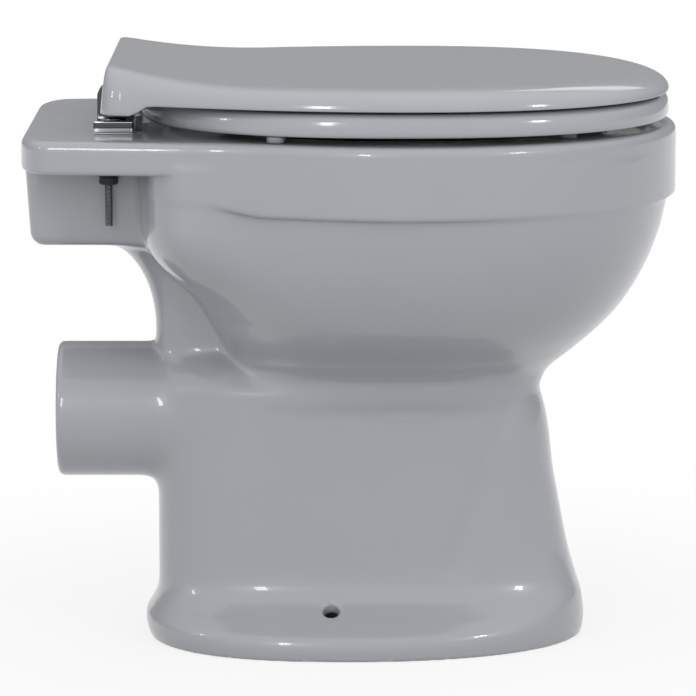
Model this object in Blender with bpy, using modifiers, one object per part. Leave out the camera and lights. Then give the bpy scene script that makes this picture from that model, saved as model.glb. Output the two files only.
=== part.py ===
"""Floor-standing toilet: a ceramic pan with a seat, a lid, their hinges and fixings.

Run it with blender --background --python part.py, or from Blender's text editor.
Lengths are in metres. +X is the front, +Z is up, and the pan is even about the plane y = 0.
"""

import math

import bmesh
import bpy
from mathutils import Matrix, Vector

# Gaps and overruns shared by all pieces
SEAT_GAP = 0.0003
RUN_GAP = 0.0005
OVERRUN = 0.002

# Rim and ledge
RIM_HEIGHT = 0.400
RIM_FRONT = 0.2485
RIM_WIDE_AT = 0.038
RIM_HALF_WIDTH = 0.180
LEDGE_BACK = 0.2485
LEDGE_HALF_WIDTH = 0.150
LEDGE_SIDE_FRONT = 0.122
LEDGE_CORNER_X = 0.018
LEDGE_CORNER_Y = 0.036
LEDGE_THICKNESS = 0.025
EDGE_ROUND = 0.0035
APRON_HEIGHT = 0.053
APRON_BOTTOM = RIM_HEIGHT - APRON_HEIGHT
APRON_BACK = 0.158
APRON_CORNER_Y = 0.050
APRON_STEP = 0.005

# Bowl, outside
BOWL_FOOT_Z = 0.197
BOWL_FOOT_FRONT = 0.1452
BOWL_FOOT_BACK = 0.077
BOWL_FRONT_POWER = 2.2
BOWL_BACK_POWER = 2.8

# Bowl, inside
WALL = 0.012
OPENING_BACK = 0.102
RIM_LAND_FRONT = 0.0485
RIM_LAND_SIDE = 0.050
OPENING_FRONT = RIM_FRONT - RIM_LAND_FRONT
OPENING_HALF_WIDTH = RIM_HALF_WIDTH - RIM_LAND_SIDE
LIP_THICKNESS = 0.009
LIP_DROP = 0.043
OPENING_BACK_POWER = 2.4
OPENING_FRONT_POWER = 2.1
CHANNEL_ROOF = 0.018
WELL_Z = 0.182
WELL_BACK = 0.024
WELL_FRONT = 0.104
THROAT_Z = 0.122
THROAT_BACK = 0.000
THROAT_FRONT = 0.075
THROAT_HALF_WIDTH = 0.038

# Foot and column
FLOOR_FRONT = 0.1813
FLOOR_BACK = 0.1595
FLOOR_HALF_WIDTH = 0.109
COLUMN_HALF_WIDTH = 0.076
BOWL_FOOT_STEP = 0.002
BOWL_FOOT_HALF_WIDTH = COLUMN_HALF_WIDTH + BOWL_FOOT_STEP
WELL_SIDE = 0.018
WELL_HALF_WIDTH = COLUMN_HALF_WIDTH - WELL_SIDE
COLUMN_BACK = 0.1492
COLUMN_POWER = 2.9
HOLLOW_TOP = 0.184
COLUMN_CROWN_Z = 0.228
COLUMN_CROWN_HALF_WIDTH = 0.036
COLUMN_CROWN_FRONT = 0.060

# Neck between the outlet and the flush inlet
NECK_HALF_WIDTH = 0.037
NECK_BACK = 0.1505
NECK_FRONT = 0.050
NECK_LOW_Z = 0.215
NECK_ARC_Z = 0.240
NECK_ARC_REACH = 0.035
NECK_TOP_HALF_WIDTH = 0.060
NECK_POWER = 3.0

# Flush inlet block under the ledge
HORN_HEIGHT = 0.0967
HORN_BOTTOM = RIM_HEIGHT - HORN_HEIGHT
HORN_BACK = 0.2470
HORN_FRONT = 0.130
HORN_HALF_WIDTH = 0.066
HORN_ROUND = 0.010
HORN_CORNER = 0.014
HORN_DRAFT = 0.0041
INLET_DROP = 0.058
INLET_Z = RIM_HEIGHT - INLET_DROP
INLET_RADIUS = 0.0275

# Outlet
OUTLET_Z = 0.175
OUTLET_END = 0.2285
OUTLET_RADIUS = 0.052
OUTLET_BORE_RADIUS = 0.043
OUTLET_INNER_END = 0.100
OUTLET_LIP_ROUND = 0.004

# Trap passage: its route runs from the well, down, over the weir and out
TRAP_RADIUS = 0.036
TRAP_HALF_WIDTH = 0.033
WEIR_HALF_WIDTH = 0.027
TRAP_DIP_X = 0.022
TRAP_DIP_Z = 0.087
WEIR_X = 0.098
WEIR_Z = 0.198
TRAP_ROUTE_STEPS = 5

# Fixing holes
SEAT_HOLE_SPACING = 0.155
SEAT_HOLE_X = 0.1822
SEAT_HOLE_RADIUS = 0.007
FLOOR_HOLE_X = 0.0152
FLOOR_HOLE_Y = 0.088
FLOOR_HOLE_Z = 0.034
FLOOR_HOLE_RADIUS = 0.006
FLOOR_HOLE_TILT = math.radians(55)
FLOOR_HOLE_REACH = 0.060

# Seat
SEAT_FRONT_INSET = 0.006
SEAT_SIDE_INSET = 0.009
SEAT_FRONT_WIDTH = 0.0645
SEAT_SIDE_WIDTH = 0.063
SEAT_RAISE = 0.006
SEAT_THICKNESS = 0.018
SEAT_FRONT = RIM_FRONT - SEAT_FRONT_INSET
SEAT_BACK = 0.1605
SEAT_HALF_WIDTH = RIM_HALF_WIDTH - SEAT_SIDE_INSET
SEAT_HOLE_BACK = 0.075
SEAT_HOLE_FRONT = SEAT_FRONT - SEAT_FRONT_WIDTH
SEAT_HOLE_HALF_WIDTH = SEAT_HALF_WIDTH - SEAT_SIDE_WIDTH
SEAT_BOTTOM = RIM_HEIGHT + SEAT_RAISE
SEAT_TOP = SEAT_BOTTOM + SEAT_THICKNESS
SEAT_FRONT_POWER = 2.3
SEAT_BACK_POWER = 3.0
SEAT_HOLE_FRONT_POWER = 2.1
SEAT_HOLE_BACK_POWER = 2.2

# Lid
LID_OVERHANG = 0.001
LID_HINGE_MARGIN = 0.0495
LID_RISE = 0.017
LID_FRONT = SEAT_FRONT
LID_BACK = 0.1865
LID_HALF_WIDTH = SEAT_HALF_WIDTH + LID_OVERHANG
LID_BACK_HALF_WIDTH = 0.5 * SEAT_HOLE_SPACING + LID_HINGE_MARGIN
LID_CORNER_X = 0.016
LID_CORNER_Y = 0.018
LID_EDGE_GAP = 0.0013
LID_TOP = SEAT_TOP + LID_RISE
LID_BACK_RISE = 0.0140
LID_RISE_LENGTH = 0.120
LID_BACK_SOFTNESS = 0.060
LID_NOSE_DROP = 0.004
LID_WALL = 0.0055
LID_SKIRT_DROP = 0.0078
LID_SKIRT_LENGTH = 0.022
LID_SKIRT_EASE = 0.014
LID_SIDE_DRAFT = 0.0035

# Hinges
HINGE_AXIS_X = 0.1792
HINGE_AXIS_RISE = 0.027
HINGE_AXIS_Z = RIM_HEIGHT + HINGE_AXIS_RISE
PIN_RADIUS = 0.003
PIN_HEAD = 0.0012
EYE_RADIUS = 0.0068
SEAT_ARM_OVERLAP = 0.016
SEAT_ARM_FALL = 0.0012
SEAT_ARM_THICKNESS = 0.010
SEAT_EAR_ARC = (math.radians(75), math.radians(285))
LID_EAR_ARC = (0.0, -math.pi)
LID_EAR_BACK = 0.003
LID_EAR_FALL = 0.0075
POST_HALF_DEPTH = 0.0107
POST_WIDTH = 0.016
SEAT_EYE_WIDTH = 0.014
LID_EYE_WIDTH = 0.013
GASKET_THICKNESS = 0.0008
BASE_THICKNESS = 0.0085
BASE_LENGTH = 0.030
BASE_WIDTH = 0.038
BASE_BACK = 0.1925
BASE_EDGE_ROUND = 0.0007
BAY_SIDE_GAP = 0.0015
BAY_ROOF_GAP = 0.0023

# Fixings
STUD_RADIUS = 0.003
STUD_DROP = 0.0715
STUD_END = RIM_HEIGHT - STUD_DROP
SLEEVE_RADIUS = 0.0066
WASHER_RADIUS = 0.0098
WASHER_THICKNESS = 0.008
NUT_RADIUS = 0.00715
NUT_THICKNESS = 0.0062

# Buffers
SEAT_BUFFER_LENGTH = 0.0143
SEAT_BUFFER_WIDTH = 0.024
SEAT_BUFFER_TAPER = 0.0022
SEAT_BUFFER_POWER = 6.0
SEAT_BUFFER_REAR_X = 0.0555
SEAT_BUFFER_REAR_INSET = 0.028
SEAT_BUFFER_REAR_Y = SEAT_HALF_WIDTH - SEAT_BUFFER_REAR_INSET
SEAT_BUFFER_FRONT_X = 0.1605
SEAT_BUFFER_FRONT_INSET = 0.058
SEAT_BUFFER_FRONT_Y = SEAT_HALF_WIDTH - SEAT_BUFFER_FRONT_INSET
LID_BUFFER_RADIUS = 0.007
LID_BUFFER_X = 0.120
LID_BUFFER_INSET = 0.053
LID_BUFFER_Y = SEAT_HALF_WIDTH - LID_BUFFER_INSET
LID_BUFFER_TAPER = 0.0015

# How finely round shapes are cut
OVAL_POINTS = 44
EDGE_POINTS = 6
ROUND_SIDES = 20
FINE_SIDES = 28

SIDES = (("right", -1), ("left", 1))

ROUND_POWER = 2.0
SQUARE_POWER = 6.0

# Shares of the bowl's height, front reach and half-width, from the foot of the bowl to the apron
BOWL_SHARES = (
    (0.00, 0.00, 0.00),
    (0.09, 0.08, 0.075),
    (0.20, 0.31, 0.27),
    (0.32, 0.515, 0.51),
    (0.43, 0.66, 0.675),
    (0.58, 0.80, 0.825),
    (0.74, 0.905, 0.925),
    (0.88, 0.97, 0.975),
    (1.08, 1.00, 1.00),
)

# Shares of the column's height, front reach, half-width flare and back flare, from the floor up
COLUMN_SHARES = (
    (0.00, 1.00, 1.00, 1.00),
    (0.075, 0.995, 0.98, 1.00),
    (0.12, 0.975, 0.84, 0.95),
    (0.165, 0.935, 0.53, 0.50),
    (0.21, 0.85, 0.24, 0.06),
    (0.26, 0.78, 0.07, 0.00),
    (0.34, 0.665, 0.00, 0.00),
    (0.62, 0.38, 0.00, 0.00),
    (1.00, 0.00, 0.00, 0.00),
)

# Shares of the height and of the width left, from the top of the column to its crown
CROWN_SHARES = ((0.35, 0.84), (0.70, 0.48), (1.00, 0.00))

# Shares of the seat's thickness and of its width, around one section, from the outer edge inwards
SEAT_SECTION_SHARES = (
    (0.00, 0.10),
    (0.09, 0.025),
    (0.38, 0.00),
    (0.70, 0.015),
    (0.91, 0.07),
    (0.99, 0.20),
    (1.00, 0.45),
    (0.95, 0.74),
    (0.80, 0.92),
    (0.52, 1.00),
    (0.20, 0.98),
    (0.00, 0.88),
    (0.00, 0.80),
    (0.28, 0.70),
    (0.28, 0.28),
    (0.00, 0.18),
)

# Shares of the lid's half-width and of its side height lost, from the lower edge over the top
LID_SKIN_SHARES = (
    (0.000, 0.93),
    (0.004, 0.70),
    (0.018, 0.42),
    (0.050, 0.18),
    (0.110, 0.03),
    (0.220, 0.00),
    (0.880, 0.00),
)
LID_EDGE_SHARE = 0.012
LID_DRAFT_SHARE = 0.020


def clear_scene():
    """Remove every object that the scene starts with."""
    for item in list(bpy.data.objects):
        bpy.data.objects.remove(item, do_unlink=True)


def new_collection(name):
    """Make a collection in the scene."""
    group = bpy.data.collections.new(name)
    bpy.context.scene.collection.children.link(group)
    return group


clear_scene()
PARTS = new_collection("floor_standing_toilet")
CUTTERS = new_collection("cutters")


def finish(name, colour, roughness, metallic=0.0):
    """Make one material with a Principled shader."""
    material = bpy.data.materials.new(name)
    material.use_nodes = True
    shader = material.node_tree.nodes["Principled BSDF"]
    shader.inputs["Base Color"].default_value = (*colour, 1.0)
    shader.inputs["Roughness"].default_value = roughness
    shader.inputs["Metallic"].default_value = metallic
    return material


def place(mesh, name, group):
    """Put a mesh in the scene as an object of a collection."""
    item = bpy.data.objects.new(name, mesh)
    group.objects.link(item)
    if group is CUTTERS:
        item.hide_render = True
        item.display_type = "WIRE"
    return item


def skin(name, rings, group, joined=False):
    """Skin rings of equal counts of points, capped at both ends or joined into a loop."""
    shape = bmesh.new()
    rows = [[shape.verts.new(point) for point in ring] for ring in rings]
    pairs = list(zip(rows, rows[1:]))
    if joined:
        pairs.append((rows[-1], rows[0]))
    for low, high in pairs:
        for i in range(len(low)):
            j = (i + 1) % len(low)
            shape.faces.new((low[i], low[j], high[j], high[i]))
    if not joined:
        shape.faces.new(rows[0])
        shape.faces.new(rows[-1])
    bmesh.ops.recalc_face_normals(shape, faces=shape.faces)
    mesh = bpy.data.meshes.new(name)
    shape.to_mesh(mesh)
    shape.free()
    return place(mesh, name, group)


def rod(name, start, end, radius, group, sides=ROUND_SIDES, end_radius=None):
    """Make a round rod or cone between two points."""
    start, end = Vector(start), Vector(end)
    shape = bmesh.new()
    bmesh.ops.create_cone(
        shape,
        cap_ends=True,
        segments=sides,
        radius1=radius,
        radius2=radius if end_radius is None else end_radius,
        depth=(end - start).length,
    )
    turn = (end - start).to_track_quat("Z", "Y").to_matrix().to_4x4()
    turn.translation = (start + end) * 0.5
    bmesh.ops.transform(shape, matrix=turn, verts=shape.verts)
    mesh = bpy.data.meshes.new(name)
    shape.to_mesh(mesh)
    shape.free()
    return place(mesh, name, group)


def block(name, low, high, group, bevel=0.0):
    """Make a box between two corners, with its upright edges rounded by a bevel."""
    low, high = Vector(low), Vector(high)
    shape = bmesh.new()
    bmesh.ops.create_cube(shape, size=1.0)
    bmesh.ops.scale(shape, vec=high - low, verts=shape.verts)
    bmesh.ops.translate(shape, vec=(low + high) * 0.5, verts=shape.verts)
    mesh = bpy.data.meshes.new(name)
    shape.to_mesh(mesh)
    shape.free()
    item = place(mesh, name, group)
    if bevel:
        edge = item.modifiers.new("rounded_edges", "BEVEL")
        edge.width = bevel
        edge.segments = 2
    return item


def combine(item, other, operation, folded=False):
    """Add or cut another object with an exact Boolean; a folded one crosses itself in a tight bend."""
    step = item.modifiers.new(other.name, "BOOLEAN")
    step.operation = operation
    step.solver = "EXACT"
    step.use_self = folded
    step.object = other


def join(item, *others, folded=False):
    """Join other solids to an object."""
    for other in others:
        combine(item, other, "UNION", folded)


def cut(item, *others, folded=False):
    """Cut other solids out of an object."""
    for other in others:
        combine(item, other, "DIFFERENCE", folded)


def mix(low, high, share):
    """The value at a share of the way from low to high."""
    return low + (high - low) * share


def ease(share):
    """A share that starts and ends level."""
    return 0.5 - 0.5 * math.cos(math.pi * share)


def power_wave(value, power):
    """One coordinate of a rounded box curve; a higher power gives squarer corners."""
    return math.copysign(abs(value) ** (2.0 / power), value)


def oval(back, front, half_width, wide_at, back_power, front_power, points=OVAL_POINTS):
    """A closed oval in plan, as x and y, with its widest place at wide_at."""
    outline = []
    for i in range(points):
        angle = 2 * math.pi * i / points
        ahead = math.cos(angle) > 0
        power = front_power if ahead else back_power
        reach = front - wide_at if ahead else wide_at - back
        x = wide_at + reach * power_wave(math.cos(angle), power)
        y = half_width * power_wave(math.sin(angle), power)
        outline.append((x, y))
    return outline


def level(outline, height):
    """Lift a plan outline to one height."""
    return [(x, y, height) for x, y in outline]


def mirrored(half):
    """Close half an outline, which runs from the front centre to the back centre."""
    return half + [(x, -y) for x, y in reversed(half[1:-1])]


def rim_half(inset):
    """Half of the rim in plan: an oval front, and a side that draws in to the ledge."""
    half = []
    front_steps = 2 * EDGE_POINTS
    for i in range(front_steps + 1):
        angle = 0.5 * math.pi * i / front_steps
        x = RIM_WIDE_AT + (RIM_FRONT - RIM_WIDE_AT - inset) * math.cos(angle)
        half.append((x, (RIM_HALF_WIDTH - inset) * math.sin(angle)))
    for i in range(1, EDGE_POINTS + 1):
        share = i / EDGE_POINTS
        x = mix(RIM_WIDE_AT, -LEDGE_SIDE_FRONT, share)
        half.append((x, mix(RIM_HALF_WIDTH, LEDGE_HALF_WIDTH, ease(share)) - inset))
    return half


def rim_outline(inset, back, corner_start, corner_y):
    """The rim in plan, closed by a straight back whose round corners start at corner_start."""
    half = rim_half(inset)
    first = 0 if corner_start > LEDGE_SIDE_FRONT else 1
    for i in range(first, EDGE_POINTS + 1):
        angle = 0.5 * math.pi * i / EDGE_POINTS
        x = mix(-corner_start, -back + inset, math.sin(angle))
        y = LEDGE_HALF_WIDTH - inset - corner_y * (1 - math.cos(angle))
        half.append((x, y))
    half.append((-back + inset, 0.0))
    return mirrored(half)


def ledge_outline(inset):
    """The rim and its ledge in plan."""
    return rim_outline(inset, LEDGE_BACK, LEDGE_BACK - LEDGE_CORNER_X, LEDGE_CORNER_Y)


def apron_outline(inset):
    """The apron in plan: the rim's own side, closed by a rounded back below the ledge."""
    return rim_outline(inset, APRON_BACK, LEDGE_SIDE_FRONT, APRON_CORNER_Y)


def side_half_width(x):
    """The rim's half-width at a place along its side."""
    if x >= RIM_WIDE_AT:
        reach = (x - RIM_WIDE_AT) / (RIM_FRONT - RIM_WIDE_AT)
        return RIM_HALF_WIDTH * math.sqrt(max(1 - reach * reach, 0.0))
    share = min((RIM_WIDE_AT - x) / (RIM_WIDE_AT + LEDGE_SIDE_FRONT), 1.0)
    return mix(RIM_HALF_WIDTH, LEDGE_HALF_WIDTH, ease(share))


def bowl_section(share_row, inset=0.0):
    """One level of the bowl: its height and its plan outline."""
    rise, front_share, side_share = share_row
    height = mix(BOWL_FOOT_Z, APRON_BOTTOM, rise)
    front = mix(BOWL_FOOT_FRONT, RIM_FRONT - APRON_STEP, front_share) - inset
    back = -mix(BOWL_FOOT_BACK, APRON_BACK - APRON_STEP, min(rise, 1.0)) + inset
    half_width = mix(BOWL_FOOT_HALF_WIDTH, RIM_HALF_WIDTH - APRON_STEP, side_share) - inset
    power = mix(BOWL_BACK_POWER, SQUARE_POWER, max(rise - 0.5, 0.0))
    outline = []
    for x, y in oval(back, front, half_width, RIM_WIDE_AT, power, BOWL_FRONT_POWER):
        drawn_in = side_half_width(x) / RIM_HALF_WIDTH if x < RIM_WIDE_AT else 1.0
        outline.append((x, y * mix(1.0, drawn_in, min(rise, 1.0))))
    return level(outline, height)


def column_section(share_row, inset=0.0):
    """One level of the foot and column."""
    rise, front_share, side_share, back_share = share_row
    front = mix(BOWL_FOOT_FRONT, FLOOR_FRONT, front_share) - inset
    back = -mix(COLUMN_BACK, FLOOR_BACK, back_share) + inset
    half_width = mix(COLUMN_HALF_WIDTH, FLOOR_HALF_WIDTH, side_share) - inset
    outline = oval(back, front, half_width, 0.0, COLUMN_POWER, COLUMN_POWER)
    return level(outline, BOWL_FOOT_Z * rise)


def column_rings():
    """The foot and column from the floor to the crown behind the bowl."""
    rings = [column_section(row) for row in COLUMN_SHARES]
    for rise, left in CROWN_SHARES:
        front = mix(COLUMN_CROWN_FRONT, BOWL_FOOT_FRONT - WALL, left)
        half_width = mix(COLUMN_CROWN_HALF_WIDTH, COLUMN_HALF_WIDTH, left)
        outline = oval(-COLUMN_BACK, front, half_width, 0.0, COLUMN_POWER, COLUMN_POWER)
        rings.append(level(outline, mix(BOWL_FOOT_Z, COLUMN_CROWN_Z, rise)))
    return rings


def neck_rings():
    """The neck: a thin web whose back edge is a quarter oval up to the inlet block."""
    rings = []
    rise = HORN_BOTTOM - NECK_ARC_Z
    spots = [NECK_LOW_Z, NECK_ARC_Z]
    quarter = [0.5 * math.pi * i / EDGE_POINTS for i in range(1, EDGE_POINTS + 1)]
    spots += [NECK_ARC_Z + rise * math.sin(angle) for angle in quarter]
    spots.append(HORN_BOTTOM + HORN_ROUND)
    for height in spots:
        climb = min(max((height - NECK_ARC_Z) / rise, 0.0), 1.0)
        back = -NECK_BACK - NECK_ARC_REACH * (1 - math.sqrt(1 - climb * climb))
        half_width = mix(NECK_HALF_WIDTH, NECK_TOP_HALF_WIDTH, climb * climb)
        outline = oval(back, -NECK_FRONT, half_width, -0.5 * (NECK_BACK + NECK_FRONT), NECK_POWER, NECK_POWER)
        rings.append(level(outline, height))
    return rings


def rounded_box(back, front, half_width, corner):
    """A rectangle in plan with round corners."""
    half = [(front, 0.0)]
    for middle, start in ((front - corner, 0.0), (back + corner, 0.5)):
        for i in range(EDGE_POINTS):
            angle = math.pi * (start + 0.5 * i / (EDGE_POINTS - 1))
            half.append((middle + corner * math.cos(angle), half_width - corner + corner * math.sin(angle)))
    half.append((back, 0.0))
    return mirrored(half)


def horn_rings():
    """The flush inlet block below the ledge: its back leans in towards its rounded bottom."""
    rings = []
    for i in range(4):
        angle = 0.5 * math.pi * i / 3
        inset = HORN_ROUND * (1 - math.sin(angle))
        height = HORN_BOTTOM + HORN_ROUND * (1 - math.cos(angle))
        rings.append((HORN_DRAFT + inset, inset, height))
    rings.append((0.0, 0.0, RIM_HEIGHT - LEDGE_THICKNESS))
    rings.append((0.0, 0.0, RIM_HEIGHT - 0.5 * LEDGE_THICKNESS))
    return [
        level(rounded_box(-HORN_BACK + lean, -HORN_FRONT, HORN_HALF_WIDTH - inset, HORN_CORNER), height)
        for lean, inset, height in rings
    ]


def spigot_rings():
    """The outlet: a round pipe with a rounded end, running back from the column."""
    spots = [(-OUTLET_INNER_END, OUTLET_RADIUS), (-OUTLET_END + OUTLET_LIP_ROUND, OUTLET_RADIUS)]
    for i in (1, 2):
        angle = 0.25 * math.pi * i
        x = -OUTLET_END + OUTLET_LIP_ROUND * (1 - math.sin(angle))
        spots.append((x, OUTLET_RADIUS - OUTLET_LIP_ROUND * (1 - math.cos(angle))))
    rings = []
    for x, radius in spots:
        turns = [2 * math.pi * k / FINE_SIDES for k in range(FINE_SIDES)]
        rings.append([(x, radius * math.sin(turn), OUTLET_Z + radius * math.cos(turn)) for turn in turns])
    return rings


def smooth_step(before, start, end, after, t):
    """A value between start and end on a smooth curve that also meets its neighbours."""
    bend = 2 * before - 5 * start + 4 * end - after
    twist = 3 * start - before - 3 * end + after
    return 0.5 * (2 * start + (end - before) * t + bend * t * t + twist * t ** 3)


def trap_route():
    """Places along the trap passage: a point in the middle plane, radius and half-width."""
    well_x = 0.5 * (THROAT_FRONT + THROAT_BACK)
    corners = [
        (well_x, THROAT_Z + TRAP_RADIUS, TRAP_RADIUS, TRAP_RADIUS),
        (well_x, THROAT_Z, TRAP_RADIUS, TRAP_RADIUS),
        (-TRAP_DIP_X, TRAP_DIP_Z, TRAP_RADIUS, TRAP_HALF_WIDTH),
        (-0.5 * (TRAP_DIP_X + WEIR_X), mix(TRAP_DIP_Z, WEIR_Z, 0.5), TRAP_RADIUS, TRAP_HALF_WIDTH),
        (-WEIR_X, WEIR_Z, TRAP_RADIUS, WEIR_HALF_WIDTH),
        (-COLUMN_BACK, OUTLET_Z, OUTLET_BORE_RADIUS - EDGE_ROUND, OUTLET_BORE_RADIUS - EDGE_ROUND),
        (-OUTLET_END - OVERRUN, OUTLET_Z, OUTLET_BORE_RADIUS, OUTLET_BORE_RADIUS),
    ]
    ends = [corners[0]] + corners + [corners[-1]]
    route = []
    for before, start, end, after in zip(ends, ends[1:], ends[2:], ends[3:]):
        for i in range(TRAP_ROUTE_STEPS):
            t = i / TRAP_ROUTE_STEPS
            route.append(
                tuple(smooth_step(*values, t) for values in zip(before, start, end, after))
            )
    route.append(corners[-1])
    return route


def tube_rings(route, extra):
    """Rings square to a route in the middle plane, each an ellipse grown by extra."""
    rings = []
    for i, (x, z, radius, half_width) in enumerate(route):
        before, after = route[max(i - 1, 0)], route[min(i + 1, len(route) - 1)]
        along = Vector((after[0] - before[0], 0.0, after[1] - before[1])).normalized()
        across = Vector((along.z, 0.0, -along.x))
        ring = []
        for k in range(ROUND_SIDES):
            angle = 2 * math.pi * k / ROUND_SIDES
            point = Vector((x, 0.0, z)) + across * (radius + extra) * math.cos(angle)
            point.y = (half_width + extra) * math.sin(angle)
            ring.append(point)
        rings.append(ring)
    return rings


def well_rings(extra):
    """The lower bowl, from just below the foot of the bowl to the throat of the trap."""
    rings = []
    for share in (0.0, 0.5, 1.0):
        soft = math.sqrt(share)
        outline = oval(
            mix(-WELL_BACK, THROAT_BACK, soft) - extra,
            mix(WELL_FRONT, THROAT_FRONT, soft) + extra,
            mix(WELL_HALF_WIDTH, THROAT_HALF_WIDTH, soft) + extra,
            0.5 * (THROAT_FRONT + THROAT_BACK),
            ROUND_POWER,
            ROUND_POWER,
        )
        rings.append(level(outline, mix(WELL_Z, THROAT_Z, share)))
    return rings


def cavity_rings():
    """The inside of the bowl: the opening, the hanging lip, the channel above it and the basin."""
    def opening(extra):
        return oval(-OPENING_BACK - extra, OPENING_FRONT + extra, OPENING_HALF_WIDTH + extra, RIM_WIDE_AT,
                    OPENING_BACK_POWER, OPENING_FRONT_POWER)

    lip_bottom = RIM_HEIGHT - LIP_DROP
    channel_top = RIM_HEIGHT - CHANNEL_ROOF
    wall = [(x, y) for x, y, _ in bowl_section(BOWL_SHARES[-1], WALL)]
    rings = [
        level(opening(EDGE_ROUND + OVERRUN), RIM_HEIGHT + OVERRUN),
        level(opening(EDGE_ROUND), RIM_HEIGHT),
        level(opening(0.0), RIM_HEIGHT - EDGE_ROUND),
        level(opening(0.0), lip_bottom),
        level(opening(LIP_THICKNESS), lip_bottom),
        level(opening(LIP_THICKNESS), channel_top),
        level(wall, channel_top),
    ]
    rings += [bowl_section(row, WALL) for row in reversed(BOWL_SHARES[2:-1])]
    low = oval(-mix(BOWL_FOOT_BACK, WELL_BACK, 0.5), BOWL_FOOT_FRONT - 2 * WALL,
               BOWL_FOOT_HALF_WIDTH - WALL, RIM_WIDE_AT, OPENING_BACK_POWER, BOWL_FRONT_POWER)
    rings.append(level(low, mix(BOWL_FOOT_Z, APRON_BOTTOM, BOWL_SHARES[1][0])))
    return rings + well_rings(0.0)


def model_pan():
    """The ceramic pan with its bowl, trap, outlet, flush inlet, fixing holes and hollow foot."""
    thin = EDGE_ROUND * 0.5
    top = [
        level(ledge_outline(thin), RIM_HEIGHT - LEDGE_THICKNESS),
        level(ledge_outline(0.0), RIM_HEIGHT - LEDGE_THICKNESS + thin),
        level(ledge_outline(0.0), RIM_HEIGHT - EDGE_ROUND),
        level(ledge_outline(EDGE_ROUND * 0.3), RIM_HEIGHT - EDGE_ROUND * 0.3),
        level(ledge_outline(EDGE_ROUND), RIM_HEIGHT),
    ]
    pan = skin("pan", top, PARTS)
    apron = skin(
        "pan_apron",
        [
            level(apron_outline(2 * APRON_STEP), APRON_BOTTOM - 0.5 * APRON_STEP),
            level(apron_outline(0.2 * APRON_STEP), APRON_BOTTOM + APRON_STEP),
            level(apron_outline(0.0), APRON_BOTTOM + 2 * APRON_STEP),
            level(apron_outline(0.0), RIM_HEIGHT - 0.5 * LEDGE_THICKNESS),
        ],
        CUTTERS,
    )
    bowl = skin("pan_bowl", [bowl_section(row) for row in BOWL_SHARES], CUTTERS)
    column = skin("pan_column", column_rings(), CUTTERS)
    neck = skin("pan_neck", neck_rings(), CUTTERS)
    horn = skin("pan_horn", horn_rings(), CUTTERS)
    spigot = skin("pan_spigot", spigot_rings(), CUTTERS)
    join(pan, apron, bowl, column, neck, horn, spigot)

    hollow_rows = [row for row in COLUMN_SHARES if BOWL_FOOT_Z * row[0] < HOLLOW_TOP]
    hollow_rows.append((HOLLOW_TOP / BOWL_FOOT_Z, 0.0, 0.0, 0.0))
    hollow_rings = [column_section(row, WALL) for row in hollow_rows]
    hollow_rings.insert(0, [(x, y, -OVERRUN) for x, y, _ in hollow_rings[0]])
    cut(pan, skin("foot_hollow", hollow_rings, CUTTERS))

    route = trap_route()
    inner = [spot for spot in route if spot[0] > -COLUMN_BACK + 0.5 * WALL]
    trap_wall = skin("trap_wall", tube_rings(inner, WALL), CUTTERS)
    shell_rings = well_rings(WALL)
    shell_rings.insert(0, [(x, y, BOWL_FOOT_Z + 0.5 * WALL) for x, y, _ in shell_rings[0]])
    well_wall = skin("well_wall", shell_rings, CUTTERS)
    join(pan, trap_wall, folded=True)
    join(pan, well_wall)

    cut(pan, skin("bowl_cavity", cavity_rings(), CUTTERS))
    cut(pan, skin("trap_passage", tube_rings(route, 0.0), CUTTERS), folded=True)
    inlet_inner = -0.5 * (APRON_BACK + OPENING_BACK)
    cut(pan, rod("inlet_bore", (-LEDGE_BACK - OVERRUN, 0.0, INLET_Z), (inlet_inner, 0.0, INLET_Z),
                 INLET_RADIUS, CUTTERS))
    for label, side in SIDES:
        y = side * 0.5 * SEAT_HOLE_SPACING
        bottom = RIM_HEIGHT - LEDGE_THICKNESS - OVERRUN
        cut(pan, rod(f"seat_hole_{label}", (-SEAT_HOLE_X, y, bottom), (-SEAT_HOLE_X, y, RIM_HEIGHT + OVERRUN),
                     SEAT_HOLE_RADIUS, CUTTERS))
        centre = Vector((-FLOOR_HOLE_X, side * FLOOR_HOLE_Y, FLOOR_HOLE_Z))
        along = Vector((0.0, side * math.cos(FLOOR_HOLE_TILT), math.sin(FLOOR_HOLE_TILT)))
        reach = along * (0.5 * FLOOR_HOLE_REACH)
        cut(pan, rod(f"floor_hole_{label}", centre - reach, centre + reach, FLOOR_HOLE_RADIUS, CUTTERS))
    return pan


def seat_outline(share):
    """A curve round the seat, at a share of the way from its outer edge to its hole."""
    return oval(
        -mix(SEAT_BACK, SEAT_HOLE_BACK, share),
        mix(SEAT_FRONT, SEAT_HOLE_FRONT, share),
        mix(SEAT_HALF_WIDTH, SEAT_HOLE_HALF_WIDTH, share),
        RIM_WIDE_AT,
        mix(SEAT_BACK_POWER, SEAT_HOLE_BACK_POWER, share),
        mix(SEAT_FRONT_POWER, SEAT_HOLE_FRONT_POWER, share),
    )


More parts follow.
